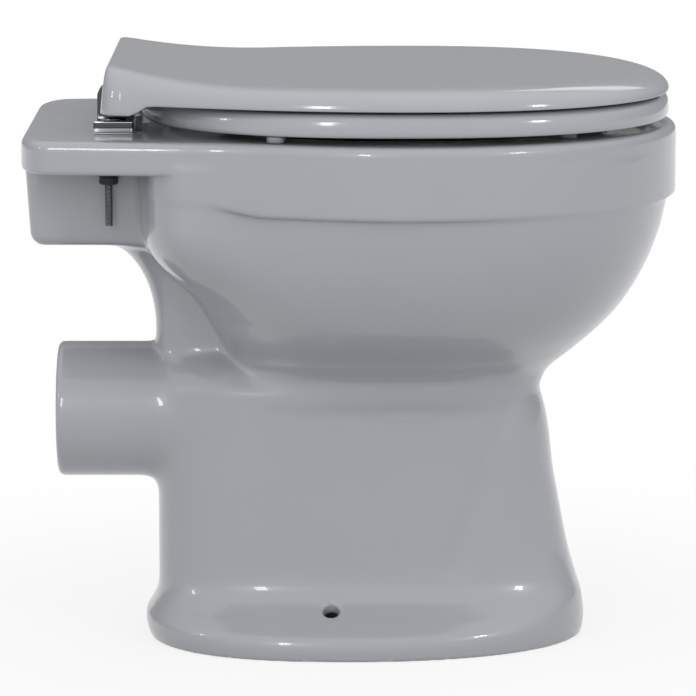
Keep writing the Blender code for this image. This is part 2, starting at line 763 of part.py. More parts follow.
def model_seat():
    """The seat ring with its two hinge eyes."""
    outlines = []
    for rise, width in SEAT_SECTION_SHARES:
        outlines.append(level(seat_outline(width), mix(SEAT_BOTTOM, SEAT_TOP, rise)))
    sections = [list(section) for section in zip(*outlines)]
    seat = skin("seat_ring", sections, PARTS, joined=True)
    front = -SEAT_BACK + SEAT_ARM_OVERLAP
    tip = [(front, SEAT_TOP - SEAT_ARM_FALL - SEAT_ARM_THICKNESS), (front, SEAT_TOP - SEAT_ARM_FALL)]
    for label, side in SIDES:
        ear = hinge_ear(f"seat_ear_{label}", side, seat_eye_span(), SEAT_EAR_ARC, tip)
        join(seat, ear)
        cut(seat, pin_bore(f"seat_pin_bore_{label}", side))
    return seat


def hinge_ear(name, side, span, arc, tip):
    """An ear round the hinge pin, whose rounded end runs over an arc and meets the points of its tip."""
    profile = list(tip)
    for i in range(2 * EDGE_POINTS + 1):
        angle = mix(*arc, i / (2 * EDGE_POINTS))
        x = -HINGE_AXIS_X + EYE_RADIUS * math.cos(angle)
        profile.append((x, HINGE_AXIS_Z + EYE_RADIUS * math.sin(angle)))
    return skin(name, [[(x, side * y, z) for x, z in profile] for y in span], CUTTERS)


def seat_eye_span():
    """The seat eye's reach from the middle, just inside the post."""
    outer = 0.5 * SEAT_HOLE_SPACING - 0.5 * POST_WIDTH - RUN_GAP
    return outer - SEAT_EYE_WIDTH, outer


def lid_eye_span():
    """The lid eye's reach from the middle, just outside the post."""
    inner = 0.5 * SEAT_HOLE_SPACING + 0.5 * POST_WIDTH + RUN_GAP
    return inner, inner + LID_EYE_WIDTH


def pin_span():
    """The hinge pin's two ends, from the middle outwards."""
    return seat_eye_span()[0] - PIN_HEAD, lid_eye_span()[1] + PIN_HEAD


def pin_bore(name, side):
    """A cutter for the hole round a hinge pin."""
    inner, outer = pin_span()
    return rod(name, (-HINGE_AXIS_X, side * (inner - OVERRUN), HINGE_AXIS_Z),
               (-HINGE_AXIS_X, side * (outer + OVERRUN), HINGE_AXIS_Z), PIN_RADIUS + SEAT_GAP, CUTTERS)


def lid_outline(inset, wall=0.0):
    """The lid in plan: an oval front, sides that draw in, and a straight back with round corners.

    A ring that is inset a little stays close to the back edge, which is crisper than the sides.
    """
    scale = 1 - (inset * inset / (inset + LID_BACK_SOFTNESS) + wall) / LID_BACK
    inset += wall
    half = []
    front_steps = 2 * EDGE_POINTS
    for i in range(front_steps + 1):
        angle = 0.5 * math.pi * i / front_steps
        x = RIM_WIDE_AT + (LID_FRONT - RIM_WIDE_AT - inset) * power_wave(math.cos(angle), SEAT_FRONT_POWER)
        half.append((x, (LID_HALF_WIDTH - inset) * power_wave(math.sin(angle), SEAT_FRONT_POWER)))
    corner_x = -LID_BACK + LID_CORNER_X
    for i in range(1, EDGE_POINTS + 1):
        share = i / EDGE_POINTS
        x = mix(RIM_WIDE_AT, corner_x * scale, share)
        y = LID_HALF_WIDTH - (LID_HALF_WIDTH - LID_BACK_HALF_WIDTH) * (1 - math.cos(0.5 * math.pi * share))
        half.append((x, y * (1 - inset / LID_HALF_WIDTH)))
    for i in range(1, EDGE_POINTS + 1):
        angle = 0.5 * math.pi * i / EDGE_POINTS
        x = corner_x - LID_CORNER_X * math.sin(angle)
        y = LID_BACK_HALF_WIDTH - LID_CORNER_Y * (1 - math.cos(angle))
        half.append((x * scale, y * (1 - inset / LID_HALF_WIDTH)))
    half.append((-LID_BACK * scale, 0.0))
    return mirrored(half)


def lid_top(x):
    """The height of the lid's crown: raised over the hinges and a little lower at the nose."""
    back = min(max(1 - (x + LID_BACK) / LID_RISE_LENGTH, 0.0), 1.0)
    nose = min(max((x - RIM_WIDE_AT) / (LID_FRONT - RIM_WIDE_AT), 0.0), 1.0)
    return LID_TOP + LID_BACK_RISE * back * back - LID_NOSE_DROP * nose ** 4


def lid_edge(x):
    """The height of the lid's lower edge: a skirt over the hinges, then just above the seat."""
    share = (x + LID_BACK - LID_SKIRT_LENGTH) / LID_SKIRT_EASE
    return SEAT_TOP + LID_EDGE_GAP - LID_SKIRT_DROP * (1 - ease(min(max(share, 0.0), 1.0)))


def lid_ring(width_share, drop_share, wall):
    """One ring of the lid's skin, or of its underside where wall is its thickness."""
    inset = LID_HALF_WIDTH * width_share
    ring = []
    for x, y in lid_outline(inset, wall):
        side = lid_top(x) - lid_edge(x)
        at_back = x < -LID_BACK + LID_CORNER_X and width_share < LID_DRAFT_SHARE
        draft = LID_SIDE_DRAFT * (1 - drop_share) if at_back else 0.0
        ring.append((x + draft, y, lid_top(x) - wall - (side - wall) * drop_share))
    return ring


def model_lid():
    """The lid: a shell that is open below, with two hinge eyes under its back edge."""
    rings = [lid_ring(width, drop, 0.0) for width, drop in reversed(LID_SKIN_SHARES)]
    rings.append(lid_ring(LID_EDGE_SHARE, 1.0, 0.0))
    rings.append(lid_ring(LID_EDGE_SHARE, 1.0, LID_WALL - LID_HALF_WIDTH * LID_EDGE_SHARE))
    rings += [lid_ring(width, drop, LID_WALL) for width, drop in LID_SKIN_SHARES[1:]]
    lid = skin("seat_lid", rings, PARTS)
    for label, side in SIDES:
        inner = seat_eye_span()[0] - PIN_HEAD - BAY_SIDE_GAP
        outer = lid_eye_span()[0] + SEAT_GAP
        bay = block(f"hinge_bay_{label}",
                    (-LID_BACK - OVERRUN, min(side * inner, side * outer), lid_edge(-LID_BACK) - OVERRUN),
                    (-HINGE_AXIS_X + POST_HALF_DEPTH + BAY_SIDE_GAP, max(side * inner, side * outer),
                     HINGE_AXIS_Z + POST_HALF_DEPTH + BAY_ROOF_GAP), CUTTERS)
        cut(lid, bay)
        under = lid_top(-LID_BACK) - LID_EAR_FALL
        tip = [(-HINGE_AXIS_X - LID_EAR_BACK, HINGE_AXIS_Z + EYE_RADIUS), (-HINGE_AXIS_X + EYE_RADIUS, under)]
        ear = hinge_ear(f"lid_ear_{label}", side, lid_eye_span(), LID_EAR_ARC, tip)
        join(lid, ear)
        cut(lid, pin_bore(f"lid_pin_bore_{label}", side))
    return lid


def model_hinge(label, side):
    """One hinge: a pad, a chrome base, a post with a rounded head, and the pin."""
    middle = side * 0.5 * SEAT_HOLE_SPACING
    pad_low = RIM_HEIGHT + SEAT_GAP
    pad_high = pad_low + GASKET_THICKNESS
    base_low = pad_high + SEAT_GAP
    base_high = base_low + BASE_THICKNESS
    back, front = -BASE_BACK, -BASE_BACK + BASE_LENGTH
    low_y, high_y = middle - 0.5 * BASE_WIDTH, middle + 0.5 * BASE_WIDTH
    gasket = block(f"hinge_gasket_{label}", (back, low_y, pad_low), (front, high_y, pad_high), PARTS)
    base = block(f"hinge_base_{label}", (back, low_y, base_low), (front, high_y, base_high), PARTS,
                 BASE_EDGE_ROUND)
    hole = rod(f"stud_hole_{label}", (-SEAT_HOLE_X, middle, pad_low - OVERRUN),
               (-SEAT_HOLE_X, middle, base_high + OVERRUN), STUD_RADIUS + SEAT_GAP, CUTTERS)
    cut(gasket, hole)
    cut(base, hole)

    foot = base_high + SEAT_GAP
    profile = [(-HINGE_AXIS_X + POST_HALF_DEPTH, foot), (-HINGE_AXIS_X - POST_HALF_DEPTH, foot)]
    for i in range(2 * EDGE_POINTS + 1):
        angle = math.pi * (1 - i / (2 * EDGE_POINTS))
        x = -HINGE_AXIS_X + POST_HALF_DEPTH * math.cos(angle)
        profile.append((x, HINGE_AXIS_Z + POST_HALF_DEPTH * math.sin(angle)))
    rings = []
    for end in (-0.5, 0.5):
        rings.append([(x, middle + end * POST_WIDTH, z) for x, z in profile])
    post = skin(f"hinge_post_{label}", rings, PARTS)
    cut(post, pin_bore(f"post_pin_bore_{label}", side))

    inner, outer = pin_span()
    pin = rod(f"hinge_pin_{label}", (-HINGE_AXIS_X, side * inner, HINGE_AXIS_Z),
              (-HINGE_AXIS_X, side * outer, HINGE_AXIS_Z), PIN_RADIUS, PARTS)
    return gasket, base, post, pin


def model_fixing(label, side):
    """One seat fixing: a stud through the ledge, its sleeve, a rubber washer and a nut."""
    middle = side * 0.5 * SEAT_HOLE_SPACING
    under = RIM_HEIGHT - LEDGE_THICKNESS
    base_high = RIM_HEIGHT + 2 * SEAT_GAP + GASKET_THICKNESS + BASE_THICKNESS
    stud = rod(f"fixing_stud_{label}", (-SEAT_HOLE_X, middle, STUD_END),
               (-SEAT_HOLE_X, middle, base_high - SEAT_GAP), STUD_RADIUS, PARTS)
    sleeve = rod(f"fixing_sleeve_{label}", (-SEAT_HOLE_X, middle, under), (-SEAT_HOLE_X, middle, RIM_HEIGHT),
                 SLEEVE_RADIUS, PARTS)
    washer_top = under - SEAT_GAP
    washer = rod(f"fixing_washer_{label}", (-SEAT_HOLE_X, middle, washer_top - WASHER_THICKNESS),
                 (-SEAT_HOLE_X, middle, washer_top), WASHER_RADIUS, PARTS)
    nut_top = washer_top - WASHER_THICKNESS - SEAT_GAP
    nut = rod(f"fixing_nut_{label}", (-SEAT_HOLE_X, middle, nut_top - NUT_THICKNESS),
              (-SEAT_HOLE_X, middle, nut_top), NUT_RADIUS, PARTS, FINE_SIDES)
    bore = rod(f"fixing_bore_{label}", (-SEAT_HOLE_X, middle, STUD_END),
               (-SEAT_HOLE_X, middle, RIM_HEIGHT + OVERRUN), STUD_RADIUS + SEAT_GAP, CUTTERS)
    cut(sleeve, bore)
    cut(washer, bore)
    cut(nut, bore)
    return stud, sleeve, washer, nut


def model_seat_buffer(name, x, y):
    """One buffer between the seat and the rim, a little narrower at its foot."""
    rings = []
    for height, taper in ((RIM_HEIGHT + SEAT_GAP, SEAT_BUFFER_TAPER), (SEAT_BOTTOM - SEAT_GAP, 0.0)):
        half_length = 0.5 * SEAT_BUFFER_LENGTH - taper
        half_width = 0.5 * SEAT_BUFFER_WIDTH - taper
        outline = oval(-half_length, half_length, half_width, 0.0, SEAT_BUFFER_POWER, SEAT_BUFFER_POWER,
                       ROUND_SIDES)
        rings.append([(x + dx, y + dy, height) for dx, dy in outline])
    return skin(name, rings, PARTS)


def model_lid_buffer(name, x, y):
    """One buffer on the lid's underside, which comes down on the seat."""
    top = lid_top(x) - LID_WALL - SEAT_GAP
    return rod(name, (x, y, SEAT_TOP + SEAT_GAP), (x, y, top), LID_BUFFER_RADIUS - LID_BUFFER_TAPER, PARTS,
               ROUND_SIDES, LID_BUFFER_RADIUS)


def hang_on_hinge(name, items):
    """Parent the pieces that turn together to an empty on the hinge axis."""
    axis = bpy.data.objects.new(name, None)
    axis.location = (-HINGE_AXIS_X, 0.0, HINGE_AXIS_Z)
    PARTS.objects.link(axis)
    for item in items:
        item.parent = axis
        item.matrix_parent_inverse = Matrix.Translation(axis.location).inverted()


def build():
    """Model every piece and give each its own material."""
    glaze = (0.36, 0.365, 0.385)
    plastic = (0.40, 0.42, 0.44)
    pieces = []

    def add(item, colour, roughness, metallic=0.0):
        item.data.materials.append(finish(item.name, colour, roughness, metallic))
        pieces.append(item)

    add(model_pan(), glaze, 0.08)
    seat = model_seat()
    lid = model_lid()
    add(seat, plastic, 0.12)
    add(lid, plastic, 0.12)
    on_seat, on_lid = [seat], [lid]
    for label, side in SIDES:
        gasket, base, post, pin = model_hinge(label, side)
        add(gasket, (0.75, 0.76, 0.77), 0.4)
        add(base, (0.75, 0.76, 0.78), 0.08, 1.0)
        add(post, (0.75, 0.76, 0.78), 0.08, 1.0)
        add(pin, (0.60, 0.61, 0.62), 0.25, 1.0)
        stud, sleeve, washer, nut = model_fixing(label, side)
        add(stud, (0.62, 0.63, 0.64), 0.3, 1.0)
        add(sleeve, (0.70, 0.71, 0.70), 0.5)
        add(washer, (0.03, 0.03, 0.03), 0.7)
        add(nut, (0.02, 0.02, 0.022), 0.5)
        rear = model_seat_buffer(f"seat_buffer_rear_{label}", -SEAT_BUFFER_REAR_X, side * SEAT_BUFFER_REAR_Y)
        front = model_seat_buffer(f"seat_buffer_front_{label}", SEAT_BUFFER_FRONT_X, side * SEAT_BUFFER_FRONT_Y)
        pad = model_lid_buffer(f"lid_buffer_{label}", LID_BUFFER_X, side * LID_BUFFER_Y)
        on_seat += [rear, front]
        on_lid.append(pad)
        for buffer in (rear, front, pad):
            add(buffer, (0.62, 0.63, 0.65), 0.35)
    hang_on_hinge("seat_hinge_axis", on_seat)
    hang_on_hinge("lid_hinge_axis", on_lid)
    for item in pieces:
        item.data.shade_smooth()
        item.data.set_sharp_from_angle(angle=math.radians(35))


build()
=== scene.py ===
"""Looks of a floor-standing toilet: fine surfaces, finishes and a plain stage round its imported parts.

The file is laid out as a Blender add-on and is run as a script. Lengths are in metres. +X is the
front of the bowl, +Y the sitter's left, +Z is up, and the object is even about the plane y = 0.
"""

import math

import bmesh
import bpy
import numpy as np
from bpy.props import FloatProperty, FloatVectorProperty, IntProperty, PointerProperty
from mathutils import Matrix, Vector


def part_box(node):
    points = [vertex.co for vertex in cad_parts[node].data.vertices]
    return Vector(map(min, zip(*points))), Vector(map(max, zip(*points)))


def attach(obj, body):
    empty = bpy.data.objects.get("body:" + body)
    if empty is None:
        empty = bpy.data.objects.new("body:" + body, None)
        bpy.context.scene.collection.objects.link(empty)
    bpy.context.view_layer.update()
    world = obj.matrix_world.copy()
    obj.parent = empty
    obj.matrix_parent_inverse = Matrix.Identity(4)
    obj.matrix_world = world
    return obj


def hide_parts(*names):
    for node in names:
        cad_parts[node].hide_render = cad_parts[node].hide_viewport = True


bl_info = {
    "name": "Toilet Looks",
    "version": (1, 0, 0),
    "blender": (4, 5, 0),
    "location": "View3D > Sidebar > Toilet",
    "description": "Builds the ceramic, plastic and metal surfaces of a floor-standing toilet",
    "category": "Object",
}

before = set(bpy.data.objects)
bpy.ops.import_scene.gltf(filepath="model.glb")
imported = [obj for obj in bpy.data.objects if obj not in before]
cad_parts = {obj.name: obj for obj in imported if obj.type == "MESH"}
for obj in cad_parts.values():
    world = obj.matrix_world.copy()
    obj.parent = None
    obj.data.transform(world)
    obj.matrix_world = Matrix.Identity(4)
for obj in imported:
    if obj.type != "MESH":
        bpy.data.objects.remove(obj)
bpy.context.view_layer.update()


class Box:
    """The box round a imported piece: its corners, its middle and half its size along each axis."""

    def __init__(self, node):
        self.low, self.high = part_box(node)
        self.middle = tuple(0.5 * (low + high) for low, high in zip(self.low, self.high))
        self.half = tuple(0.5 * (high - low) for low, high in zip(self.low, self.high))


PAN, SEAT, LID = Box("pan"), Box("seat_ring"), Box("seat_lid")
BASE, POST = Box("hinge_base_left"), Box("hinge_post_left")
PIN, STUD = Box("hinge_pin_left"), Box("fixing_stud_left")
SIDES = {"right": -1, "left": 1}
MOST_TRIANGLES = 190000

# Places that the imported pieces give; the seat's top lies above the rim
SEAT_RISE = 0.024
SEAT_TOP = PAN.high[2] + SEAT_RISE
HINGE_X, HINGE_Z = PIN.middle[0], PIN.middle[2]
STUD_X = STUD.middle[0]

# How far a pin stands out of the eyes, the play beside the eyes, and the bays' room and overlap
PIN_PROUD, EYE_PLAY, BAY_PLAY, BAY_OVERLAP = 0.0012, 0.0005, 0.0015, 0.0003
SEAT_EYE_SPAN = (PIN.low[1] + PIN_PROUD, POST.low[1] - EYE_PLAY)
LID_EYE_SPAN = (POST.high[1] + EYE_PLAY, PIN.high[1] - PIN_PROUD)
BAY_SPAN = (PIN.low[1] - BAY_PLAY, LID_EYE_SPAN[0] + BAY_OVERLAP)

# Powers of the ovals in plan, behind and ahead of their widest part: 2 is an ellipse, more is squarer
ELLIPSE = (2.0, 2.0)
BOWL_BACK_POWERS, BOWL_FRONT_POWER = (2.8, 6.0), 2.2
COLUMN_POWER, FOOT_POWERS, NECK_POWERS = 2.9, (2.45, 2.08), (3.0, 3.0)
MOUTH_POWERS = (2.4, 2.1)
SEAT_POWERS, SEAT_HOLE_POWERS = (2.4, 2.3), (2.2, 2.1)
LID_POWER, BUFFER_POWERS = 2.3, (3.2, 3.2)

# The pan's grid: free steps round it, and the least slope by which a field is divided
GRID_MARGIN, LEAST_SLOPE = 2.3, 2.5

# How far behind the middle the apron starts to lift
LIFT_START = 0.06

# Shares of the bowl's height: where its back squares off, and from where and how fast it merges
SQUARE_FROM, MERGE_FROM, MERGE_RUN = 0.4, 0.45, 0.5

# How far the bowl runs on below its foot, and the softness of hidden ends
BOWL_ROOT, END_SOFT, NECK_END_SOFT = 0.030, 0.020, 0.010

# The crown's reach to the front, and the fold's lowest point, its X at both ends and its inner limit
CROWN_FRONT, WAIST_LOW, WAIST_RUN, WAIST_INNER = 0.060, 0.040, (0.073, 0.121), 0.03

# The well: its shoulder, the taper below it, the throat's place, sizes at top and throat, its ends
WELL_SHOULDER, WELL_TAPER, THROAT_X = 0.182, 0.060, 0.0375
WELL_BACK, WELL_FRONT, WELL_HALF_WIDTH = (0.024, 0.0), (0.104, 0.075), (0.058, 0.038)
WELL_LOW, WELL_HIGH, WELL_SOFT = 0.118, 0.225, 0.006

# The trap's way: X, Z, half its height and half its width, as far as the back of the column
TRAP_CORNERS = (
    (THROAT_X, 0.158, 0.036, 0.036),
    (THROAT_X, 0.122, 0.036, 0.036),
    (-0.022, 0.087, 0.036, 0.033),
    (-0.060, 0.1425, 0.036, 0.033),
    (-0.098, 0.198, 0.036, 0.027),
)
TRAP_END_RADIUS, TRAP_OVERRUN = 0.0390, 0.004

# Where pipes end inside the pan, how far the inlet's cut starts behind it, and the edge of that cut
OUTLET_ROOT, INLET_ROOT, INLET_OVERRUN, INLET_EDGE = 0.100, 0.135, 0.01, 0.001

# Shares of the seam's softness where the pan's forms meet; pairs are low and high ends of a change
NECK_SEAM, OUTLET_SEAMS, BOWL_SEAMS, ROOT_SEAMS = 0.7, (1.1, 0.35), (0.55, 1.5), (0.06, 1.0)
FRONT_SEAM_LOSS, HORN_SEAM, RIM_SEAM = 0.8, 0.75, 0.28
WELL_WALL_SEAM, BASIN_SEAM, TRAP_SEAM = 0.2, 1.4, 0.4

# Where those changes start and how long they are: above the outlet, along X, and below the bowl's foot
OUTLET_CHANGE, ROOT_CHANGE = (0.018, 0.030), (0.026, 0.024)
BACK_CHANGE, FRONT_CHANGE = (0.105, 0.060), (0.085, 0.050)

# Softness of the edges of the pan's openings, and how far the mouth's cut runs past the lip
BASIN_SOFT, LIP_SOFT, PASSAGE_SOFT, INLET_SOFT, SEAT_HOLE_SOFT = 0.008, 0.006, 0.004, 0.006, 0.003
MOUTH_OVERRUN = 0.004

# The floor screws' holes: their tilt from level in degrees, half their length and their soft edge
FLOOR_HOLE_TILT, FLOOR_HOLE_REACH, FLOOR_HOLE_SOFT = 55, 0.030, 0.0035

# The clay is bare this near to the hollow in the foot, and this near to the floor
BARE_DEPTH, BARE_HEIGHT = 0.0025, 0.0008

# The seat's eyes: how far they start ahead of its back, and their faces below its top
SEAT_EYE_START, SEAT_EYE_LOW, SEAT_EYE_HIGH = 0.022, 0.0112, 0.0012

# The lid's lower edge: rows of inset and share of the drop, from outside to inside
LID_EDGE_ROWS = ((0.00025, 0.965), (0.0009, 0.990), (0.0020, 1.0))

# How far the crown of the lid's back leans forwards, and the inset at which that ends
LID_LEAN, LID_LEAN_REACH = 0.0035, 0.030

# The rings of the lid: the last drop on its side and on its underside, and the share of the inmost
SIDE_DROP, UNDERSIDE_DROP, LID_MIDDLE = 0.93, 0.75, 0.985

# Powers of the lid's side: its section, and how its rings come closer towards the edge
LID_EDGE_POWER, LID_RING_POWER = 2.6, 1.8

# The lid's bays, from the hinge line, the lid's back and the seat's top, and the roots of its eyes
BAY_ROOF, BAY_FRONT, BAY_ROUND, BAY_BACK, BAY_DEPTH = 0.0130, 0.0122, 0.0035, 0.004, 0.012
LID_EYE_ROOT, LID_EYE_BACK = 0.0075, 0.003

# Corners of the level plates, the core's reach into the thread, and its room at each end
PAD_CORNER, BASE_CORNER, THREAD_ROOT, THREAD_END = 0.0020, 0.0022, 0.00012, 1.1

# Painted reflection bands on the base plates: heights above their foot, below their top and above their top
PAINTED_REFLECTION_FOOT, PAINTED_REFLECTION_RIM, PAINTED_REFLECTION_FADE = (0.0030, 0.0034), (0.0011, 0.0008), 0.0002

# The floor's ellipse inside the foot: its middle, one over its reaches, and where white starts in it
FOOT_MIDDLE, FOOT_SCALE, FOOT_INNER = 0.005, (6.6, 11.8), 0.80

# The distance from the object at which the floor starts to get whiter
SHADOW_START = 0.25

# The stage: corners round the floor, the dome's grid and lower edge, and its change from back to front
FLOOR_CORNERS, DOME_AROUND, DOME_LEVELS, DOME_LIFT = 96, 48, 12, 0.02
DOME_SLANT, DOME_RANGE = 0.9, (-0.42, 0.65)

# Soft boxes, by the value that holds their power: name, place, and width and height
LAMPS = {
    "front_power": ("Front box", (-1.27, -4.10, 1.60), (0.34, 1.10)),
    "left_power": ("Left box", (-3.70, -1.60, 1.50), (0.28, 0.60)),
    "right_power": ("Right box", (2.85, -2.95, 1.60), (0.42, 0.60)),
    "back_power": ("Back box", (1.20, 3.40, 2.60), (1.40, 0.90)),
}

# The point that they all look at
LAMP_AIM = (0.0, 0.0, 0.25)

# Shares of the bowl's height, front reach and half-width, from its foot to the apron
BOWL_SHARES = (
    (-0.22, -0.60, -0.65),
    (-0.10, -0.22, -0.24),
    (0.00, 0.00, 0.00),
    (0.09, 0.10, 0.085),
    (0.20, 0.295, 0.27),
    (0.32, 0.495, 0.51),
    (0.43, 0.642, 0.675),
    (0.58, 0.787, 0.825),
    (0.74, 0.897, 0.925),
    (0.88, 0.962, 0.975),
    (1.04, 1.00, 1.00),
    (1.40, 1.00, 1.00),
)

# Shares of the column's height, front reach, half-width flare and back flare, from the floor up
COLUMN_SHARES = (
    (-0.05, 0.940, 0.975, 0.66),
    (0.00, 0.945, 0.975, 0.68),
    (0.045, 0.985, 0.995, 0.94),
    (0.08, 0.992, 0.96, 1.00),
    (0.12, 0.972, 0.72, 0.60),
    (0.165, 0.935, 0.38, 0.20),
    (0.21, 0.86, 0.14, 0.02),
    (0.26, 0.78, 0.03, 0.00),
    (0.34, 0.665, 0.00, 0.00),
    (0.62, 0.38, 0.00, 0.00),
    (1.00, 0.00, 0.00, 0.00),
)

# Shares of the crown's height and of the width left, behind the bowl
CROWN_SHARES = ((0.35, 0.84), (0.70, 0.48), (1.00, 0.10), (1.40, 0.00))

# Shares of the seat's width and thickness round one section, from the outer edge over the top
SEAT_SECTION_SHARES = (
    (0.048, 0.00),
    (0.012, 0.07),
    (0.000, 0.25),
    (0.002, 0.50),
    (0.018, 0.74),
    (0.062, 0.905),
    (0.160, 0.985),
    (0.400, 1.00),
    (0.700, 0.96),
    (0.900, 0.82),
    (0.995, 0.52),
    (0.975, 0.20),
    (0.880, 0.00),
    (0.800, 0.01),
    (0.710, 0.26),
    (0.500, 0.30),
    (0.290, 0.26),
    (0.190, 0.01),
)


def number(name, text, value, **more):
    """A number that a user can change."""
    return FloatProperty(name=name, description=text, default=value, **more)


def length(name, text, value, **more):
    """A length that a user can change."""
    return number(name, text, value, unit="LENGTH", precision=4, **more)


def watts(name, text, value):
    """A lamp's power that a user can change."""
    return number(name, text, value, unit="POWER")


def colour(name, text, value):
    """A colour that a user can change."""
    return FloatVectorProperty(
        name=name, description=text, default=value, subtype="COLOR", size=3, min=0.0, max=1.0
    )


class ToiletPanSizes(bpy.types.PropertyGroup):
    """Sizes of the ceramic pan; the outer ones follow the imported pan."""

    rim_height: length("Rim height", "Height of the rim above the floor", PAN.high[2])
    rim_front: length("Rim front", "Reach of the rim to the front", PAN.high[0])
    rim_half_width: length("Rim half width", "Half of the pan's width", PAN.high[1])
    rim_wide_at: length("Rim widest at", "Place of the widest part, ahead of the middle", 0.038)
    rim_round: length("Rim rounding", "Radius of the rim's and the ledge's upper edge", 0.0060)
    ledge_back: length("Ledge back", "Reach of the ledge to the back", -PAN.low[0] - 0.0022)
    ledge_half_width: length("Ledge half width", "Half of the ledge's width", 0.150)
    ledge_side_front: length("Ledge side front", "Where the ledge's straight side starts", 0.122)
    ledge_taper: length("Ledge taper", "How much the ledge narrows towards its back, on each side", 0.010)
    ledge_corner_x: length("Ledge corner length", "Length of the ledge's round corners", 0.023)
    ledge_corner_y: length("Ledge corner width", "Width of the ledge's round corners", 0.046)
    ledge_thickness: length("Ledge thickness", "Thickness of the ledge", 0.025)
    apron_height: length("Apron height", "Height of the apron round the bowl", 0.0546)
    apron_lift: length("Apron lift", "How much the apron's lower edge rises at the back", 0.009)
    apron_back: length("Apron back", "Reach of the apron to the back", 0.1580)
    apron_corner: length("Apron corner", "Width of the apron's round back corners", 0.078)
    apron_fade: length("Apron fade", "How far behind the middle it starts to merge", 0.052)
    apron_merge: length("Apron merge", "Length over which it merges", 0.062)
    apron_step: length("Apron step", "How far the apron stands out of the bowl", 0.0062)
    bowl_foot_z: length("Bowl foot height", "Height where the bowl meets the column", 0.197)
    bowl_foot_front: length("Bowl foot front", "Reach of the bowl's foot to the front", 0.1432)
    bowl_foot_back: length("Bowl foot back", "Reach of the bowl's foot to the back", 0.082)
    bowl_foot_half_width: length("Bowl foot half width", "Half of the width at the bowl's foot", 0.078)
    wall: length("Wall", "Thickness of the ceramic", 0.012)
    opening_back: length("Opening back", "Reach of the bowl's mouth to the back", 0.102)
    opening_front: length("Opening front", "Reach of the bowl's mouth to the front", 0.200)
    opening_half_width: length("Opening half width", "Half of the mouth's width", 0.130)
    lip_drop: length("Lip drop", "Depth of the lip below the rim", 0.043)
    lip_thickness: length("Lip thickness", "Thickness of the hanging lip", 0.009)
    channel_roof: length("Channel roof", "Thickness of the ceramic above the rim channel", 0.018)
    floor_front: length("Foot front", "Reach of the foot to the front", 0.1813)
    floor_back: length("Foot back", "Reach of the foot to the back", 0.1595)
    floor_half_width: length("Foot half width", "Half of the foot's width", 0.1165)
    floor_round: length("Foot rounding", "Radius of the foot's lower edge", 0.0018)
    column_half_width: length("Column half width", "Half of the column's width", 0.076)
    column_back: length("Column back", "Reach of the column to the back", 0.1492)
    crown_height: length("Crown height", "Rise of the column's crown behind the bowl", 0.031)
    hollow_top: length("Hollow top", "Height of the hollow in the foot", 0.184)
    waist_depth: length("Waist depth", "Depth of the shallow fold on the column's side", 0.0018)
    waist_width: length("Waist width", "Half of the width of that fold", 0.011)
    neck_half_width: length("Neck half width", "Half of the neck's width at its foot", 0.037)
    neck_top_half_width: length("Neck top half width", "Half of the neck's width at its top", 0.062)
    neck_back: length("Neck back", "Reach of the neck to the back", 0.1505)
    neck_front: length("Neck front", "Reach of the neck to the front", 0.050)
    neck_arc_z: length("Neck arc height", "Height where the neck's back edge starts to curve", 0.240)
    neck_arc_reach: length("Neck arc reach", "Reach of that curve to the back", 0.048)
    horn_height: length("Inlet block height", "Height of the inlet block, from the rim down", 0.0892)
    horn_back: length("Inlet block back", "Reach of the inlet block to the back", 0.2466)
    horn_front: length("Inlet block front", "Reach of the inlet block to the front", 0.130)
    horn_half_width: length("Inlet block half width", "Half of the inlet block's width", 0.066)
    horn_draft: length("Inlet block draft", "How far its back leans in towards its bottom", 0.0036)
    horn_round: length("Inlet block rounding", "Radius of its edges", 0.010)
    inlet_drop: length("Inlet drop", "Depth of the flush inlet below the rim", 0.056)
    inlet_radius: length("Inlet radius", "Radius of the flush inlet", 0.0268)
    outlet_z: length("Outlet height", "Height of the outlet's centre", 0.175)
    outlet_end: length("Outlet end", "Reach of the outlet to the back", 0.2262)
    outlet_radius: length("Outlet radius", "Outer radius of the outlet", 0.052)
    outlet_bore: length("Outlet bore", "Inner radius of the outlet", 0.0425)
    outlet_round: length("Outlet rounding", "Radius of the outlet's end", 0.0045)
    seat_hole_x: length("Seat hole place", "Place of the seat holes, behind the middle", 0.1822)
    seat_hole_y: length("Seat hole side", "Half of the spacing of the seat holes", 0.0775)
    seat_hole_radius: length("Seat hole radius", "Radius of the seat holes", 0.0070)
    floor_hole_x: length("Floor hole place", "Place of the floor screws, behind the middle", 0.0152)
    floor_hole_y: length("Floor hole side", "Distance of the floor screws from the middle", 0.088)
    floor_hole_z: length("Floor hole height", "Height of the floor screws", 0.034)
    floor_hole_radius: length("Floor hole radius", "Radius of the floor screws' holes", 0.0060)
    soft_seam: length("Seam softness", "Softness of the seams between the pan's forms", 0.018)
    step: length("Surface step", "Spacing of the grid from which the surface is made", 0.0027, min=0.002)


